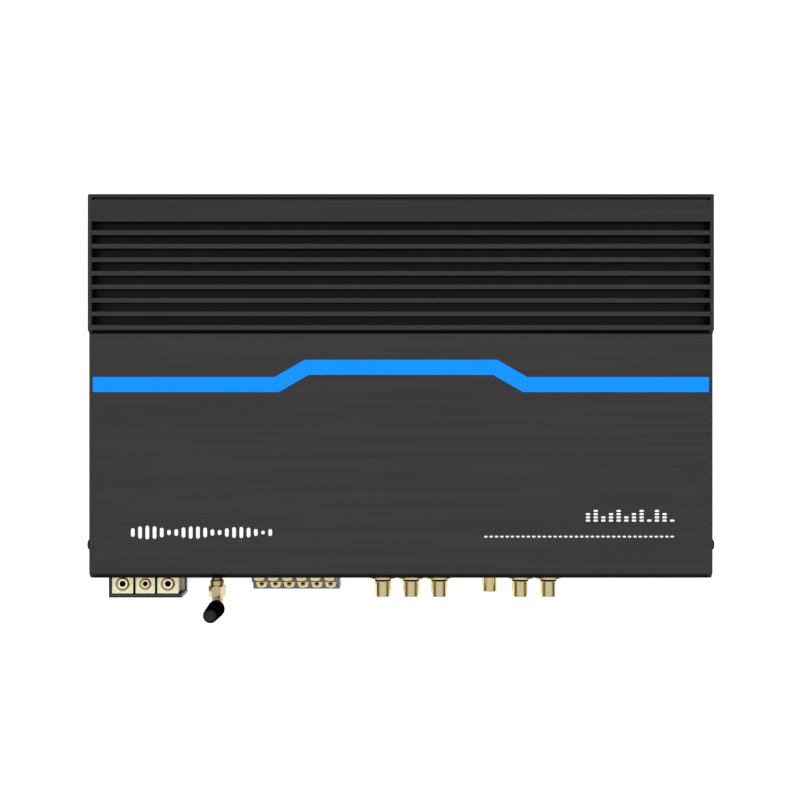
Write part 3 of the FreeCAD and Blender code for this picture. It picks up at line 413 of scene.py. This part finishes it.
# The cover's painted shade, as (height, shade) in its grooves and (place from front to back, shade)
# elsewhere.
FLOOR_SHADE = 0.018
WALL_SHADE = 0.0004
GROOVE_SHADES = (
    (GROOVE_FLOOR - 0.3, FLOOR_SHADE), (GROOVE_FLOOR, FLOOR_SHADE),
    (GROOVE_FLOOR + 0.4, WALL_SHADE), (GROOVE_LINE, WALL_SHADE))
BAND_SHADES = (
    (FRONT_EDGE, 0.12), (FRONT_LIP[0], 0.25), (FRONT_LIP[1], 1.0), (STEP_FOOT, 1.0),
    (STEP_FOOT + STEP_SOFT, STEP_SHADE), (STEP_TOP - STEP_SOFT, STEP_SHADE), (STEP_TOP, 1.0),
    (GROOVE_SPAN[1], 1.0), (BACK_BAND, 0.88))
# Heights of the gold and rubber pieces whose tones change with height, as painted light and shade.
POWER_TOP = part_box("power_terminal_contacts")[1].z / MM
POWER_LEDGE = 20.0
SCREW_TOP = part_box("power_screw_left")[1].z / MM
LOWER_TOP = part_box("speaker_screw_01")[1].z / MM
UPPER_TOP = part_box("speaker_screw_07")[1].z / MM
SLEEVE_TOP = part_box("antenna_sleeve")[1].z / MM
COLLAR_RISE = 0.8
COLLAR_RIM = 0.25


def screw_layers(top, face):
    """A screw's tones by height: its face, and painted shade for the socket or slot below it."""
    return [(top - 0.4, SOCKET_SHADE), (top - 0.08, SOCKET_SHADE), (top - 0.02, face), (top, face)]


def cage_layers(screw_top):
    """A speaker contact's tones by height, as painted light and shade: the lit plate with shaded sides, the
    collar's shaded side and the collar's lit face.
    """
    collar = screw_top + COLLAR_RIM
    plate = collar - COLLAR_RISE
    return [
        (plate - 1.5, SHADE_BROWN), (plate - 0.3, DEEP_GOLD), (plate, WARM_GOLD), (plate + 0.05, WARM_GOLD),
        (plate + 0.15, SHADE_BROWN), (collar - 0.15, DEEP_GOLD), (collar - 0.05, RIM_GOLD), (collar, RIM_GOLD)]


# --- The object's materials, and the CAD nodes that wear them ---
materials = {
    "case": anodised("case_black", CASE_BLACK),
    "cover": anodised("cover_black", CASE_BLACK, grooves=True),
    "base": anodised("base_black", (0.04, 0.04, 0.04), rough=(0.5, 0.6)),
    "accent": painted("accent_blue", (0.003, 0.235, 1.0)),
    "screw": brushed("screw_black", (0.05, 0.05, 0.052), metallic=0.9, rough=(0.3, 0.42)),
    "steel": brushed("plain_steel", (0.55, 0.55, 0.56)),
    "post": brushed("post_brass", (0.75, 0.58, 0.3)),
    "board": circuit_board("board_green", (0.012, 0.09, 0.035)),
    "chip": moulded("chip_black", (0.016, 0.016, 0.017)),
    "pad": moulded("pad_grey", (0.42, 0.42, 0.46), rough=(0.7, 0.85)),
    "can": moulded("can_sleeve", (0.012, 0.012, 0.02), rough=(0.2, 0.3), grain=900.0),
    "ferrite": moulded("ferrite_grey", (0.05, 0.05, 0.05), rough=(0.6, 0.75), grain=1800.0),
    "copper": brushed("copper_wire", (0.78, 0.33, 0.14), rough=(0.2, 0.3)),
    "shield": brushed("shield_tin", (0.7, 0.7, 0.7)),
    "cable": moulded("lead_black", (0.012, 0.012, 0.012), rough=(0.4, 0.5)),
    "slate": moulded("terminal_slate", (0.03, 0.028, 0.052), rough=(0.3, 0.4), gloss=0.8),
    "light_slate": moulded("speaker_slate", (0.1, 0.097, 0.115), rough=(0.3, 0.4), gloss=0.6),
    # Painted shade on the rounded edges of the power terminal housing and the power screws.
    "slate_edge_shade": moulded("slate_edge_shade", (0.006, 0.006, 0.007), gloss=0.02),
    "screw_edge_shade": moulded("screw_edge_brown", (0.14, 0.08, 0.03), gloss=0.05),
    "foot_ring": moulded("foot_ring_black", (0.006, 0.004, 0.002), gloss=0.1),
    "socket": moulded("socket_black", (0.014, 0.014, 0.015)),
    "gold": brushed("gold_plate", (0.99, 0.83, 0.48), rough=(0.13, 0.2)),
    "nut_gold": brushed("nut_gold", (0.8, 0.68, 0.4), rough=(0.13, 0.2)),
    # Painted light and shade on the power clamps: shaded sides, a painted reflection near the ledge, a
    # shaded ring down in the countersink, a painted reflection on its slope and a lit cream face.
    "clamp": light_and_shade_by_height("clamp_gold_painted_light_shade", [
        (POWER_LEDGE - 1.5, SIDE_SHADE), (POWER_LEDGE - 0.2, FOOT_REFLECTION_GOLD), (POWER_LEDGE + 0.3, FOOT_REFLECTION_GOLD),
        (POWER_LEDGE + 0.9, SIDE_SHADE), (POWER_TOP - 1.5, SIDE_SHADE), (POWER_TOP - 1.3, SHADE_BROWN),
        (POWER_TOP - 1.0, DEEP_GOLD), (POWER_TOP - 0.2, SINK_REFLECTION_GOLD), (POWER_TOP - 0.05, FACE_CREAM),
        (POWER_TOP, FACE_CREAM)]),
    # Painted highlights on the rounded edges of the clamps, the speaker contacts and the jack shells.
    "clamp_edge_highlight": brushed("clamp_edge_gold", HIGHLIGHT_CREAM, metallic=0.1, rough=(0.26, 0.36)),
    "jack_edge_highlight": brushed("jack_edge_gold", (1.0, 0.88, 0.55), metallic=0.2, rough=(0.26, 0.36)),
    "pad_gold": brushed("pad_gold", DEEP_GOLD),
    # Power screws: a painted highlight on the cream face, and painted shade in the socket.
    "power_screw": light_and_shade_by_height("power_screw_gold", screw_layers(SCREW_TOP, HIGHLIGHT_CREAM), gloss=0.08),
    # Speaker contacts: painted light and shade by height.
    "contact": light_and_shade_by_height("contact_gold_painted_light_shade", cage_layers(LOWER_TOP) + cage_layers(UPPER_TOP)),
    # Speaker screws: painted shade in the slots, and a darker face on the lower row.
    "lower_screw": light_and_shade_by_height("lower_screw_gold", screw_layers(LOWER_TOP, LOWER_SCREW_FACE), gloss=0.08),
    "upper_screw": light_and_shade_by_height("upper_screw_gold", screw_layers(UPPER_TOP, RIM_GOLD), gloss=0.08),
    "insulator": moulded("insulator_white", (0.7, 0.7, 0.66)),
    "lamp": lens("lamp_blue", (0.1, 0.35, 0.95)),
    # Painted highlight on the rubber sleeve's tip.
    "rubber": light_and_shade_by_height("antenna_rubber", [
        (SLEEVE_TOP - 6.0, RUBBER_BLACK), (SLEEVE_TOP - 1.2, RUBBER_BLACK), (SLEEVE_TOP, RUBBER_TIP_HIGHLIGHT)],
        metallic=0.0, rough=(0.5, 0.6), gloss=0.0),
    "print": moulded("print_white", (0.8, 0.8, 0.8), rough=(0.5, 0.6), relief=0.004 * MM),
    "floor": floor_paper("floor_white", (0.5, 0.5, 0.5), FLOOR_GLOW),
}

NODE_LOOKS = {
    "case": ["end_plate_left", "end_plate_right", "front_panel"],
    "cover": ["heatsink_cover"],
    "base": ["base_plate"],
    "accent": ["accent_stripe"],
    "screw": ["end_plate_screws", "base_plate_screws"],
    "steel": ["mounting_nuts", "internal_screws", "chip_clamp_bar", "usb_socket"],
    "post": ["board_standoffs", "signal_board_posts"],
    "board": ["main_board", "signal_board"],
    "chip": ["amplifier_chips", "signal_processor"],
    "pad": ["thermal_pads"],
    "can": ["filter_capacitors"],
    "ferrite": ["transformer_core"],
    "copper": ["transformer_winding"],
    "shield": ["radio_module"],
    "cable": ["antenna_lead"],
    "slate": ["power_terminal_housing"],
    "light_slate": ["speaker_terminal_housing"],
    "foot_ring": ["jack_rings"],
    "socket": ["input_jack_housing", "output_jack_housing", "optical_port", "control_port"],
    "gold": ["jack_shells", "jack_centre_contacts", "antenna_jack", "antenna_jack_nut", "antenna_elbow"],
    "nut_gold": ["antenna_coupling_nut"],
    "clamp": ["power_terminal_contacts"],
    "contact": ["speaker_terminal_contacts"],
    "pad_gold": ["power_pad_left", "power_pad_middle", "power_pad_right"],
    "power_screw": ["power_screw_left", "power_screw_middle", "power_screw_right"],
    "lower_screw": [f"speaker_screw_{number:02d}" for number in range(1, 7)],
    "upper_screw": [f"speaker_screw_{number:02d}" for number in range(7, 13)],
    "insulator": ["jack_insulators"],
    "lamp": ["status_light"],
    "rubber": ["antenna_sleeve"],
}

JOIN_REACH = 0.001
EDGE_ANGLE = 35
SMOOTH_ANGLE = 28
EDGE_WIDTHS = {
    "end_plate_left": 0.15, "end_plate_right": 0.15, "base_plate": 0.3,
    "accent_stripe": 0.05, "optical_port": 0.2, "control_port": 0.2,
    "power_terminal_housing": 0.3, "power_terminal_contacts": 0.35,
    "speaker_terminal_housing": 0.12, "speaker_terminal_contacts": 0.1,
    "power_screw_left": 0.12, "power_screw_middle": 0.1, "power_screw_right": 0.12,
}
# Edge rounds with a look of their own: painted highlights on the clamps and contacts, painted shade on the
# power screws and housing.
EDGE_HIGHLIGHTS_AND_SHADES = {
    "power_screw_left": "screw_edge_shade", "power_screw_middle": "screw_edge_shade", "power_screw_right": "screw_edge_shade",
    "power_terminal_contacts": "clamp_edge_highlight", "speaker_terminal_contacts": "clamp_edge_highlight",
    "power_terminal_housing": "slate_edge_shade",
}


def dress_nodes():
    """Give every CAD node its material, and round the edges of those with an edge width."""
    for look, names in NODE_LOOKS.items():
        for name in names:
            nodes[name].data.materials.clear()
            nodes[name].data.materials.append(materials[look])
    for name, width in EDGE_WIDTHS.items():
        join_corners(nodes[name])
        soften(nodes[name], width * MM, EDGE_HIGHLIGHTS_AND_SHADES.get(name))


def join_corners(piece):
    """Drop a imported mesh's own normals, shade it flat and join the corners that it keeps apart.

    The joining is done by a modifier, so the mesh's own vertices stay as they are.
    """
    normals = piece.data.attributes.get("custom_normal")
    if normals:
        piece.data.attributes.remove(normals)
    piece.data.shade_flat()
    weld = piece.modifiers.new("joined", "WELD")
    weld.merge_threshold = JOIN_REACH * MM


def soften(piece, width, painted_edge_look=None):
    """Round a piece's sharp edges, and give the rounds a look of their own if one is named; those looks are
    painted highlights and painted shade along the edges.
    """
    bevel = piece.modifiers.new("edges", "BEVEL")
    bevel.width = width
    bevel.segments = 2
    bevel.limit_method = "ANGLE"
    bevel.angle_limit = math.radians(EDGE_ANGLE)
    bevel.use_clamp_overlap = False
    if painted_edge_look:
        piece.data.materials.append(materials[painted_edge_look])
        bevel.material = len(piece.data.materials) - 1


# --- Piece building ---
SEGMENTS = 96


def make_piece(name, builder, look, body, slot, *replaced):
    """Turn finished mesh data into a piece that rides on a body."""
    bmesh.ops.recalc_face_normals(builder, faces=builder.faces)
    mesh = bpy.data.meshes.new(name)
    builder.to_mesh(mesh)
    builder.free()
    mesh.shade_smooth()
    mesh.set_sharp_from_angle(angle=math.radians(SMOOTH_ANGLE))
    mesh.materials.append(materials[look])
    piece = bpy.data.objects.new(name, mesh)
    bpy.context.scene.collection.objects.link(piece)
    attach(piece, body)
    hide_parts(*replaced)
    return piece


def turned_point(axis, centre, along, radius, angle):
    """A point at a radius and an angle round an axis, from millimetres."""
    across = (centre[0] + radius * math.cos(angle), centre[1] + radius * math.sin(angle))
    spots = {"y": (across[0], along, across[1]), "z": (across[0], across[1], along)}
    return Vector(spots[axis]) * MM


def add_turned(builder, axis, centre, section, hollow=False):
    """Turn a section about an axis. A point is (place on the axis, radius or radius by angle)."""
    rings = []
    for along, radius in section:
        if radius == 0:
            rings.append([builder.verts.new(turned_point(axis, centre, along, 0, 0))])
            continue
        ring = []
        for step in range(SEGMENTS):
            angle = 2 * math.pi * step / SEGMENTS
            reach = radius(angle) if callable(radius) else radius
            ring.append(builder.verts.new(turned_point(axis, centre, along, reach, angle)))
        rings.append(ring)
    pairs = list(zip(rings, rings[1:]))
    if hollow:
        pairs.append((rings[-1], rings[0]))
    for first, second in pairs:
        for step in range(SEGMENTS):
            after = (step + 1) % SEGMENTS
            corners = [first[step % len(first)], first[after % len(first)],
                       second[after % len(second)], second[step % len(second)]]
            builder.faces.new(list(dict.fromkeys(corners)))


def hexagon(flats, limit):
    """The radius of a hexagon by angle, with its corners turned down to a limit."""
    def radius(angle):
        from_corner = (angle + math.pi / 6) % (math.pi / 3) - math.pi / 6
        from_flat = math.pi / 6 - abs(from_corner)
        return min(flats / 2 / math.cos(from_flat), limit)
    return radius


def hex_run(flats, start, end, chamfer):
    """Section points of a hexagonal run whose two ends are turned to a chamfer."""
    corner = flats / 2 / math.cos(math.pi / 6)
    slope = (corner - flats / 2) / chamfer
    steps = [chamfer * share for share in (0.0, 0.25, 0.5, 0.75, 1.0)]
    run = [(start + step, hexagon(flats, flats / 2 + slope * step)) for step in steps]
    return run + [(end - step, hexagon(flats, flats / 2 + slope * step)) for step in reversed(steps)]


def thread_run(radius, depth, pitch, start, end):
    """Section points of a right-handed screw thread along an axis."""
    count = round((end - start) / pitch * THREAD_STEPS)

    def ridge(along):
        def reach(angle):
            phase = (along / pitch - angle / (2 * math.pi)) % 1.0
            return radius - depth * abs(2 * phase - 1)
        return reach

    stations = [start + (end - start) * step / count for step in range(count + 1)]
    return [(along, ridge(along)) for along in stations]


# --- Phono jacks ---
def jack_places():
    """The (x, z) centre of every phono jack, in millimetres."""
    pins = [mount for mount in mounts.values() if mount["kind"] == "pin"]
    return [(mount["pos_m"][0] / MM, mount["pos_m"][2] / MM) for mount in pins]


def shell_section():
    """The outside and inside of one plated jack shell."""
    front, back = (corner.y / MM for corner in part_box("jack_shells"))
    ring_front, flange_front = (corner.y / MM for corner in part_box("jack_rings"))
    flange_back = flange_front + FLANGE_THICK
    edge = 0.2
    return [
        (front, BARREL_RADIUS),
        (ring_front, BARREL_RADIUS),
        (ring_front, NECK_RADIUS),
        (flange_front, NECK_RADIUS),
        (flange_front, FLANGE_RADIUS - edge),
        (flange_front + edge, FLANGE_RADIUS),
        (flange_back - edge, FLANGE_RADIUS),
        (flange_back, FLANGE_RADIUS - edge),
        (flange_back, NECK_RADIUS),
        (back, NECK_RADIUS),
        (back, BARREL_BORE),
        (front + edge, BARREL_BORE),
        (front, BARREL_BORE + edge / 2),
    ]


def ring_section():
    """The rounded dark ring at the foot of a barrel."""
    front, back = (corner.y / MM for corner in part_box("jack_rings"))
    edge = 0.25
    return [
        (front, NECK_RADIUS),
        (front, RING_RADIUS - edge),
        (front + edge, RING_RADIUS),
        (back, RING_RADIUS),
        (back, NECK_RADIUS),
    ]


def insulator_section():
    """The dished white insulator inside a shell."""
    front, back = (corner.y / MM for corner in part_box("jack_insulators"))
    edge = 0.25
    inner = SOCKET_RADIUS + SOCKET_WALL
    return [
        (front + edge, BARREL_BORE),
        (front, BARREL_BORE - edge),
        (front, inner + CUP_DEPTH),
        (front + CUP_DEPTH, inner),
        (back, inner),
        (back, BARREL_BORE),
    ]


def contact_section():
    """The tubular centre contact of a jack with a funnelled mouth."""
    front, back = (corner.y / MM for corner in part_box("jack_centre_contacts"))
    edge = 0.2
    outer = SOCKET_RADIUS + SOCKET_WALL
    return [
        (front, outer - edge / 2),
        (front + edge, outer),
        (back, outer),
        (back, SOCKET_RADIUS),
        (front + edge, SOCKET_RADIUS),
        (front, SOCKET_RADIUS + edge / 2),
    ]


def add_jacks():
    """Every phono jack: shell, foot ring, insulator and centre contact."""
    sets = (
        ("jack_shell", "gold", "gold", "jack_shells", shell_section()),
        ("jack_ring", "foot_ring", "socket_black", "jack_rings", ring_section()),
        ("jack_insulator", "insulator", "insulator_white", "jack_insulators", insulator_section()),
        ("jack_contact", "gold", "gold", "jack_centre_contacts", contact_section()),
    )
    for name, look, slot, node, section in sets:
        for number, place in enumerate(jack_places(), 1):
            builder = bmesh.new()
            add_turned(builder, "y", place, section, hollow=True)
            piece = make_piece(f"{name}_{number}", builder, look, "case", slot, node)
            # Painted highlight on the shells' rounded edges.
            if node == "jack_shells":
                soften(piece, JACK_EDGE * MM, "jack_edge_highlight")


# --- Antenna ---
def centre_of(node):
    """The middle of a CAD node's box, in millimetres."""
    low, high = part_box(node)
    return (low + high) / 2 / MM


def add_antenna_nuts():
    """The jack's thread and panel nut, and the coupling nut that turns on it."""
    nut_front, nut_back = (corner.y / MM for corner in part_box("antenna_coupling_nut"))
    middle = centre_of("antenna_coupling_nut")
    place = (middle.x, middle.z)
    thread_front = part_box("antenna_jack")[0].y / MM
    panel_nut = [corner.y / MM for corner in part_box("antenna_jack_nut")]

    builder = bmesh.new()
    thread = thread_run(THREAD_RADIUS, THREAD_DEPTH, THREAD_PITCH, thread_front, panel_nut[1])
    add_turned(builder, "y", place, [(thread_front, 0), *thread, (panel_nut[1], 0)])
    make_piece("antenna_thread", builder, "gold", "case", "gold", "antenna_jack")

    builder = bmesh.new()
    hexes = hex_run(NUT_FLATS, *panel_nut, NUT_CHAMFER)
    section = [(panel_nut[0], THREAD_RADIUS), *hexes, (panel_nut[1], THREAD_RADIUS)]
    add_turned(builder, "y", place, section, hollow=True)
    make_piece("antenna_panel_nut", builder, "gold", "case", "gold", "antenna_jack_nut")

    groove = 0.3
    hex_end = nut_back - COLLAR_LENGTH
    section = [
        (nut_front, FERRULE_RADIUS + FERRULE_GAP),
        *hex_run(NUT_FLATS, nut_front, hex_end - groove, NUT_CHAMFER),
        (hex_end - groove, COLLAR_RADIUS - groove),
        (hex_end, COLLAR_RADIUS - groove),
        (hex_end, COLLAR_RADIUS - groove / 2),
        (hex_end + groove / 2, COLLAR_RADIUS),
        (nut_back - groove, COLLAR_RADIUS),
        (nut_back, COLLAR_RADIUS - groove),
        (nut_back, THREAD_RADIUS + THREAD_GAP),
        (thread_front - groove, THREAD_RADIUS + THREAD_GAP),
        (thread_front - groove, FERRULE_RADIUS + FERRULE_GAP),
    ]
    builder = bmesh.new()
    add_turned(builder, "y", place, section, hollow=True)
    make_piece("coupling_nut", builder, "nut_gold", "antenna_nut", "gold", "antenna_coupling_nut")


def fluted(radius):
    """A radius by angle with shallow flutes round it."""
    return lambda angle: radius - FLUTE_DEPTH * (0.5 + 0.5 * math.cos(FLUTES * angle))


def add_elbow():
    """The brass elbow's upright body, with a seam below the sleeve."""
    low, high = (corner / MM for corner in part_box("antenna_elbow"))
    sleeve = centre_of("antenna_sleeve")
    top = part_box("antenna_sleeve")[0].z / MM
    edge = 0.9
    seam = top - 1.6
    seam_half = 0.3
    seam_depth = 0.2
    builder = bmesh.new()
    add_turned(builder, "z", (sleeve.x, sleeve.y), [
        (low.z, 0),
        (low.z, ELBOW_RADIUS - edge),
        (low.z + edge * 0.3, ELBOW_RADIUS - edge * 0.3),
        (low.z + edge, ELBOW_RADIUS),
        (seam - seam_half, ELBOW_RADIUS),
        (seam - seam_half / 2, ELBOW_RADIUS - seam_depth),
        (seam + seam_half / 2, ELBOW_RADIUS - seam_depth),
        (seam + seam_half, ELBOW_RADIUS),
        (top - seam_half, ELBOW_RADIUS),
        (top, ELBOW_RADIUS - seam_half),
        (top, STEM_RADIUS),
        (high.z, STEM_RADIUS),
        (high.z, 0),
    ])
    make_piece("antenna_elbow_body", builder, "gold", "antenna", "gold", "antenna_elbow")


def add_ferrule():
    """The elbow's level arm: a fluted head in front of the coupling nut and a plain end inside it."""
    start = centre_of("antenna_sleeve").y
    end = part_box("antenna_elbow")[1].y / MM
    nut_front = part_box("antenna_coupling_nut")[0].y / MM
    jack = centre_of("antenna_coupling_nut")
    builder = bmesh.new()
    add_turned(builder, "y", (jack.x, jack.z), [
        (start, 0),
        (start, FERRULE_HEAD_RADIUS - FLUTE_DEPTH),
        (start + ELBOW_RADIUS - 0.2, fluted(FERRULE_HEAD_RADIUS)),
        (nut_front - 0.3, fluted(FERRULE_HEAD_RADIUS)),
        (nut_front - 0.1, FERRULE_RADIUS - FLUTE_DEPTH),
        (end, FERRULE_RADIUS - FLUTE_DEPTH),
        (end, 0),
    ])
    make_piece("antenna_ferrule", builder, "gold", "antenna", "gold", "antenna_elbow")


def add_sleeve():
    """The tapered rubber sleeve with its rounded tip."""
    low, high = (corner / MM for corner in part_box("antenna_sleeve"))
    middle = centre_of("antenna_sleeve")
    foot, tip = SLEEVE_RADII
    edge = 0.4
    shoulder = high.z - SLEEVE_TIP
    section = [(low.z, 0), (low.z, foot - edge), (low.z + edge, foot)]
    for step in range(TIP_STEPS + 1):
        angle = math.pi / 2 * step / TIP_STEPS
        radius = tip - SLEEVE_TIP * (1 - math.cos(angle))
        section.append((shoulder + SLEEVE_TIP * math.sin(angle), radius))
    section.append((high.z, 0))
    builder = bmesh.new()
    add_turned(builder, "z", (middle.x, middle.y), section)
    make_piece("antenna_cover", builder, "rubber", "antenna", "antenna_rubber", "antenna_sleeve")


# --- Printed marks ---
def add_bar(builder, centre, size, low, high):
    """One flat bar with round ends along its longer side, between two heights."""
    width, length = size
    radius = min(width, length) / 2
    reach = (width / 2 - radius, length / 2 - radius)
    outline = []
    for quarter, (side_x, side_y) in enumerate(((1, 1), (-1, 1), (-1, -1), (1, -1))):
        for step in range(BAR_STEPS + 1):
            angle = math.pi / 2 * (quarter + step / BAR_STEPS)
            outline.append((centre[0] + side_x * reach[0] + radius * math.cos(angle),
                            centre[1] + side_y * reach[1] + radius * math.sin(angle)))
    rings = [[builder.verts.new(Vector((x, y, z)) * MM) for x, y in outline] for z in (low, high)]
    for ring in rings:
        builder.faces.new(ring)
    for step in range(len(outline)):
        after = (step + 1) % len(outline)
        builder.faces.new([rings[0][step], rings[0][after], rings[1][after], rings[1][step]])


def add_marks():
    """Plain printed marks on the deck: a row of wave bars, a level meter and a dashed rule."""
    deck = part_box("accent_stripe")[1].z / MM - STRIPE_PROUD
    heights = (deck - PRINT_HEIGHT, deck + PRINT_HEIGHT)

    builder = bmesh.new()
    for bar in range(WAVE_BARS):
        share = bar / (WAVE_BARS - 1)
        wave = abs(math.sin(WAVE_SWELLS * math.pi * share + WAVE_START))
        swell = wave * (1 - WAVE_FADE * share)
        length = WAVE_THICK + (WAVE_TALL - WAVE_THICK) * swell
        x = WAVE_X[0] + (WAVE_X[1] - WAVE_X[0]) * share
        add_bar(builder, (x, WAVE_Y), (WAVE_THICK, length), *heights)
    make_piece("mark_wave", builder, "print", "case", "insulator_white")

    builder = bmesh.new()
    level_pitch = (METER_Y[1] - METER_Y[0]) / METER_LEVELS
    for column in range(METER_COLUMNS):
        x = METER_X[0] + (METER_X[1] - METER_X[0]) * column / (METER_COLUMNS - 1)
        lit = 1 + round((METER_LEVELS - 1) * abs(math.sin(METER_RATE * column + METER_START)))
        for level in range(lit):
            y = METER_Y[0] + level_pitch * (level + 0.5)
            add_bar(builder, (x, y), METER_SEGMENT, *heights)
    make_piece("mark_meter", builder, "print", "case", "insulator_white")

    builder = bmesh.new()
    for dash in range(RULE_DASHES):
        x = RULE_X[0] + (RULE_X[1] - RULE_X[0]) * dash / (RULE_DASHES - 1)
        add_bar(builder, (x, RULE_Y), RULE_DASH, *heights)
    make_piece("mark_rule", builder, "print", "case", "insulator_white")


# --- Room ---
def add_floor():
    """A pale floor under the object, left out of mirror images as in a cut-out product picture."""
    low = cad_box[0].z - FLOOR_DROP * MM
    bpy.ops.mesh.primitive_plane_add(size=2 * FLOOR_HALF * MM, location=(0, 0, low))
    floor = bpy.context.object
    floor.name = "floor"
    floor.data.materials.append(materials["floor"])
    floor.visible_glossy = False


def add_overhead_light():
    """A large soft light above the object, which doesn't show in its glossy faces."""
    data = bpy.data.lights.new("overhead", "AREA")
    data.energy = OVERHEAD_POWER
    data.size = OVERHEAD_SIZE * MM
    light = bpy.data.objects.new("overhead", data)
    light.location = (0, 0, OVERHEAD_HEIGHT * MM)
    light.visible_glossy = False
    bpy.context.scene.collection.objects.link(light)


def add_room():
    """A room that is bright overhead and below, dark between, and plain white behind the object."""
    world = bpy.data.worlds.new("studio")
    bpy.context.scene.world = world
    world.use_nodes = True
    tree = world.node_tree
    place = tree.nodes.new("ShaderNodeTexCoord")
    split = tree.nodes.new("ShaderNodeSeparateXYZ")
    spread = tree.nodes.new("ShaderNodeMapRange")
    ramp = tree.nodes.new("ShaderNodeValToRGB")
    rays = tree.nodes.new("ShaderNodeLightPath")
    plain = tree.nodes.new("ShaderNodeBackground")
    pick = tree.nodes.new("ShaderNodeMixShader")
    back = tree.nodes["Background"]
    set_inputs(spread, From_Min=-1.0, From_Max=1.0)
    set_inputs(plain, Color=(*BACKDROP, 1.0))
    tree.links.new(place.outputs["Generated"], split.inputs["Vector"])
    tree.links.new(split.outputs["Z"], spread.inputs["Value"])
    tree.links.new(spread.outputs["Result"], ramp.inputs["Fac"])
    tree.links.new(ramp.outputs["Color"], back.inputs["Color"])
    tree.links.new(rays.outputs["Is Camera Ray"], pick.inputs["Fac"])
    tree.links.new(back.outputs["Background"], pick.inputs[1])
    tree.links.new(plain.outputs["Background"], pick.inputs[2])
    tree.links.new(pick.outputs["Shader"], tree.nodes["World Output"].inputs["Surface"])
    set_stops(ramp.color_ramp, [((height + 1) / 2, color) for height, color in ROOM_STOPS])


def add_camera():
    """A camera straight above the object."""
    data = bpy.data.cameras.new("camera")
    data.lens = CAMERA_LENS
    data.shift_x, data.shift_y = CAMERA_SHIFT
    data.clip_start = 0.01
    camera = bpy.data.objects.new("camera", data)
    camera.location = Vector((CAMERA_X, CAMERA_Y, CAMERA_HEIGHT)) * MM
    bpy.context.scene.collection.objects.link(camera)
    bpy.context.scene.camera = camera


dress_nodes()
add_jacks()
add_antenna_nuts()
add_elbow()
add_ferrule()
add_sleeve()
add_marks()
add_floor()
add_overhead_light()
add_room()
add_camera()
bpy.context.scene.view_settings.view_transform = "Standard"
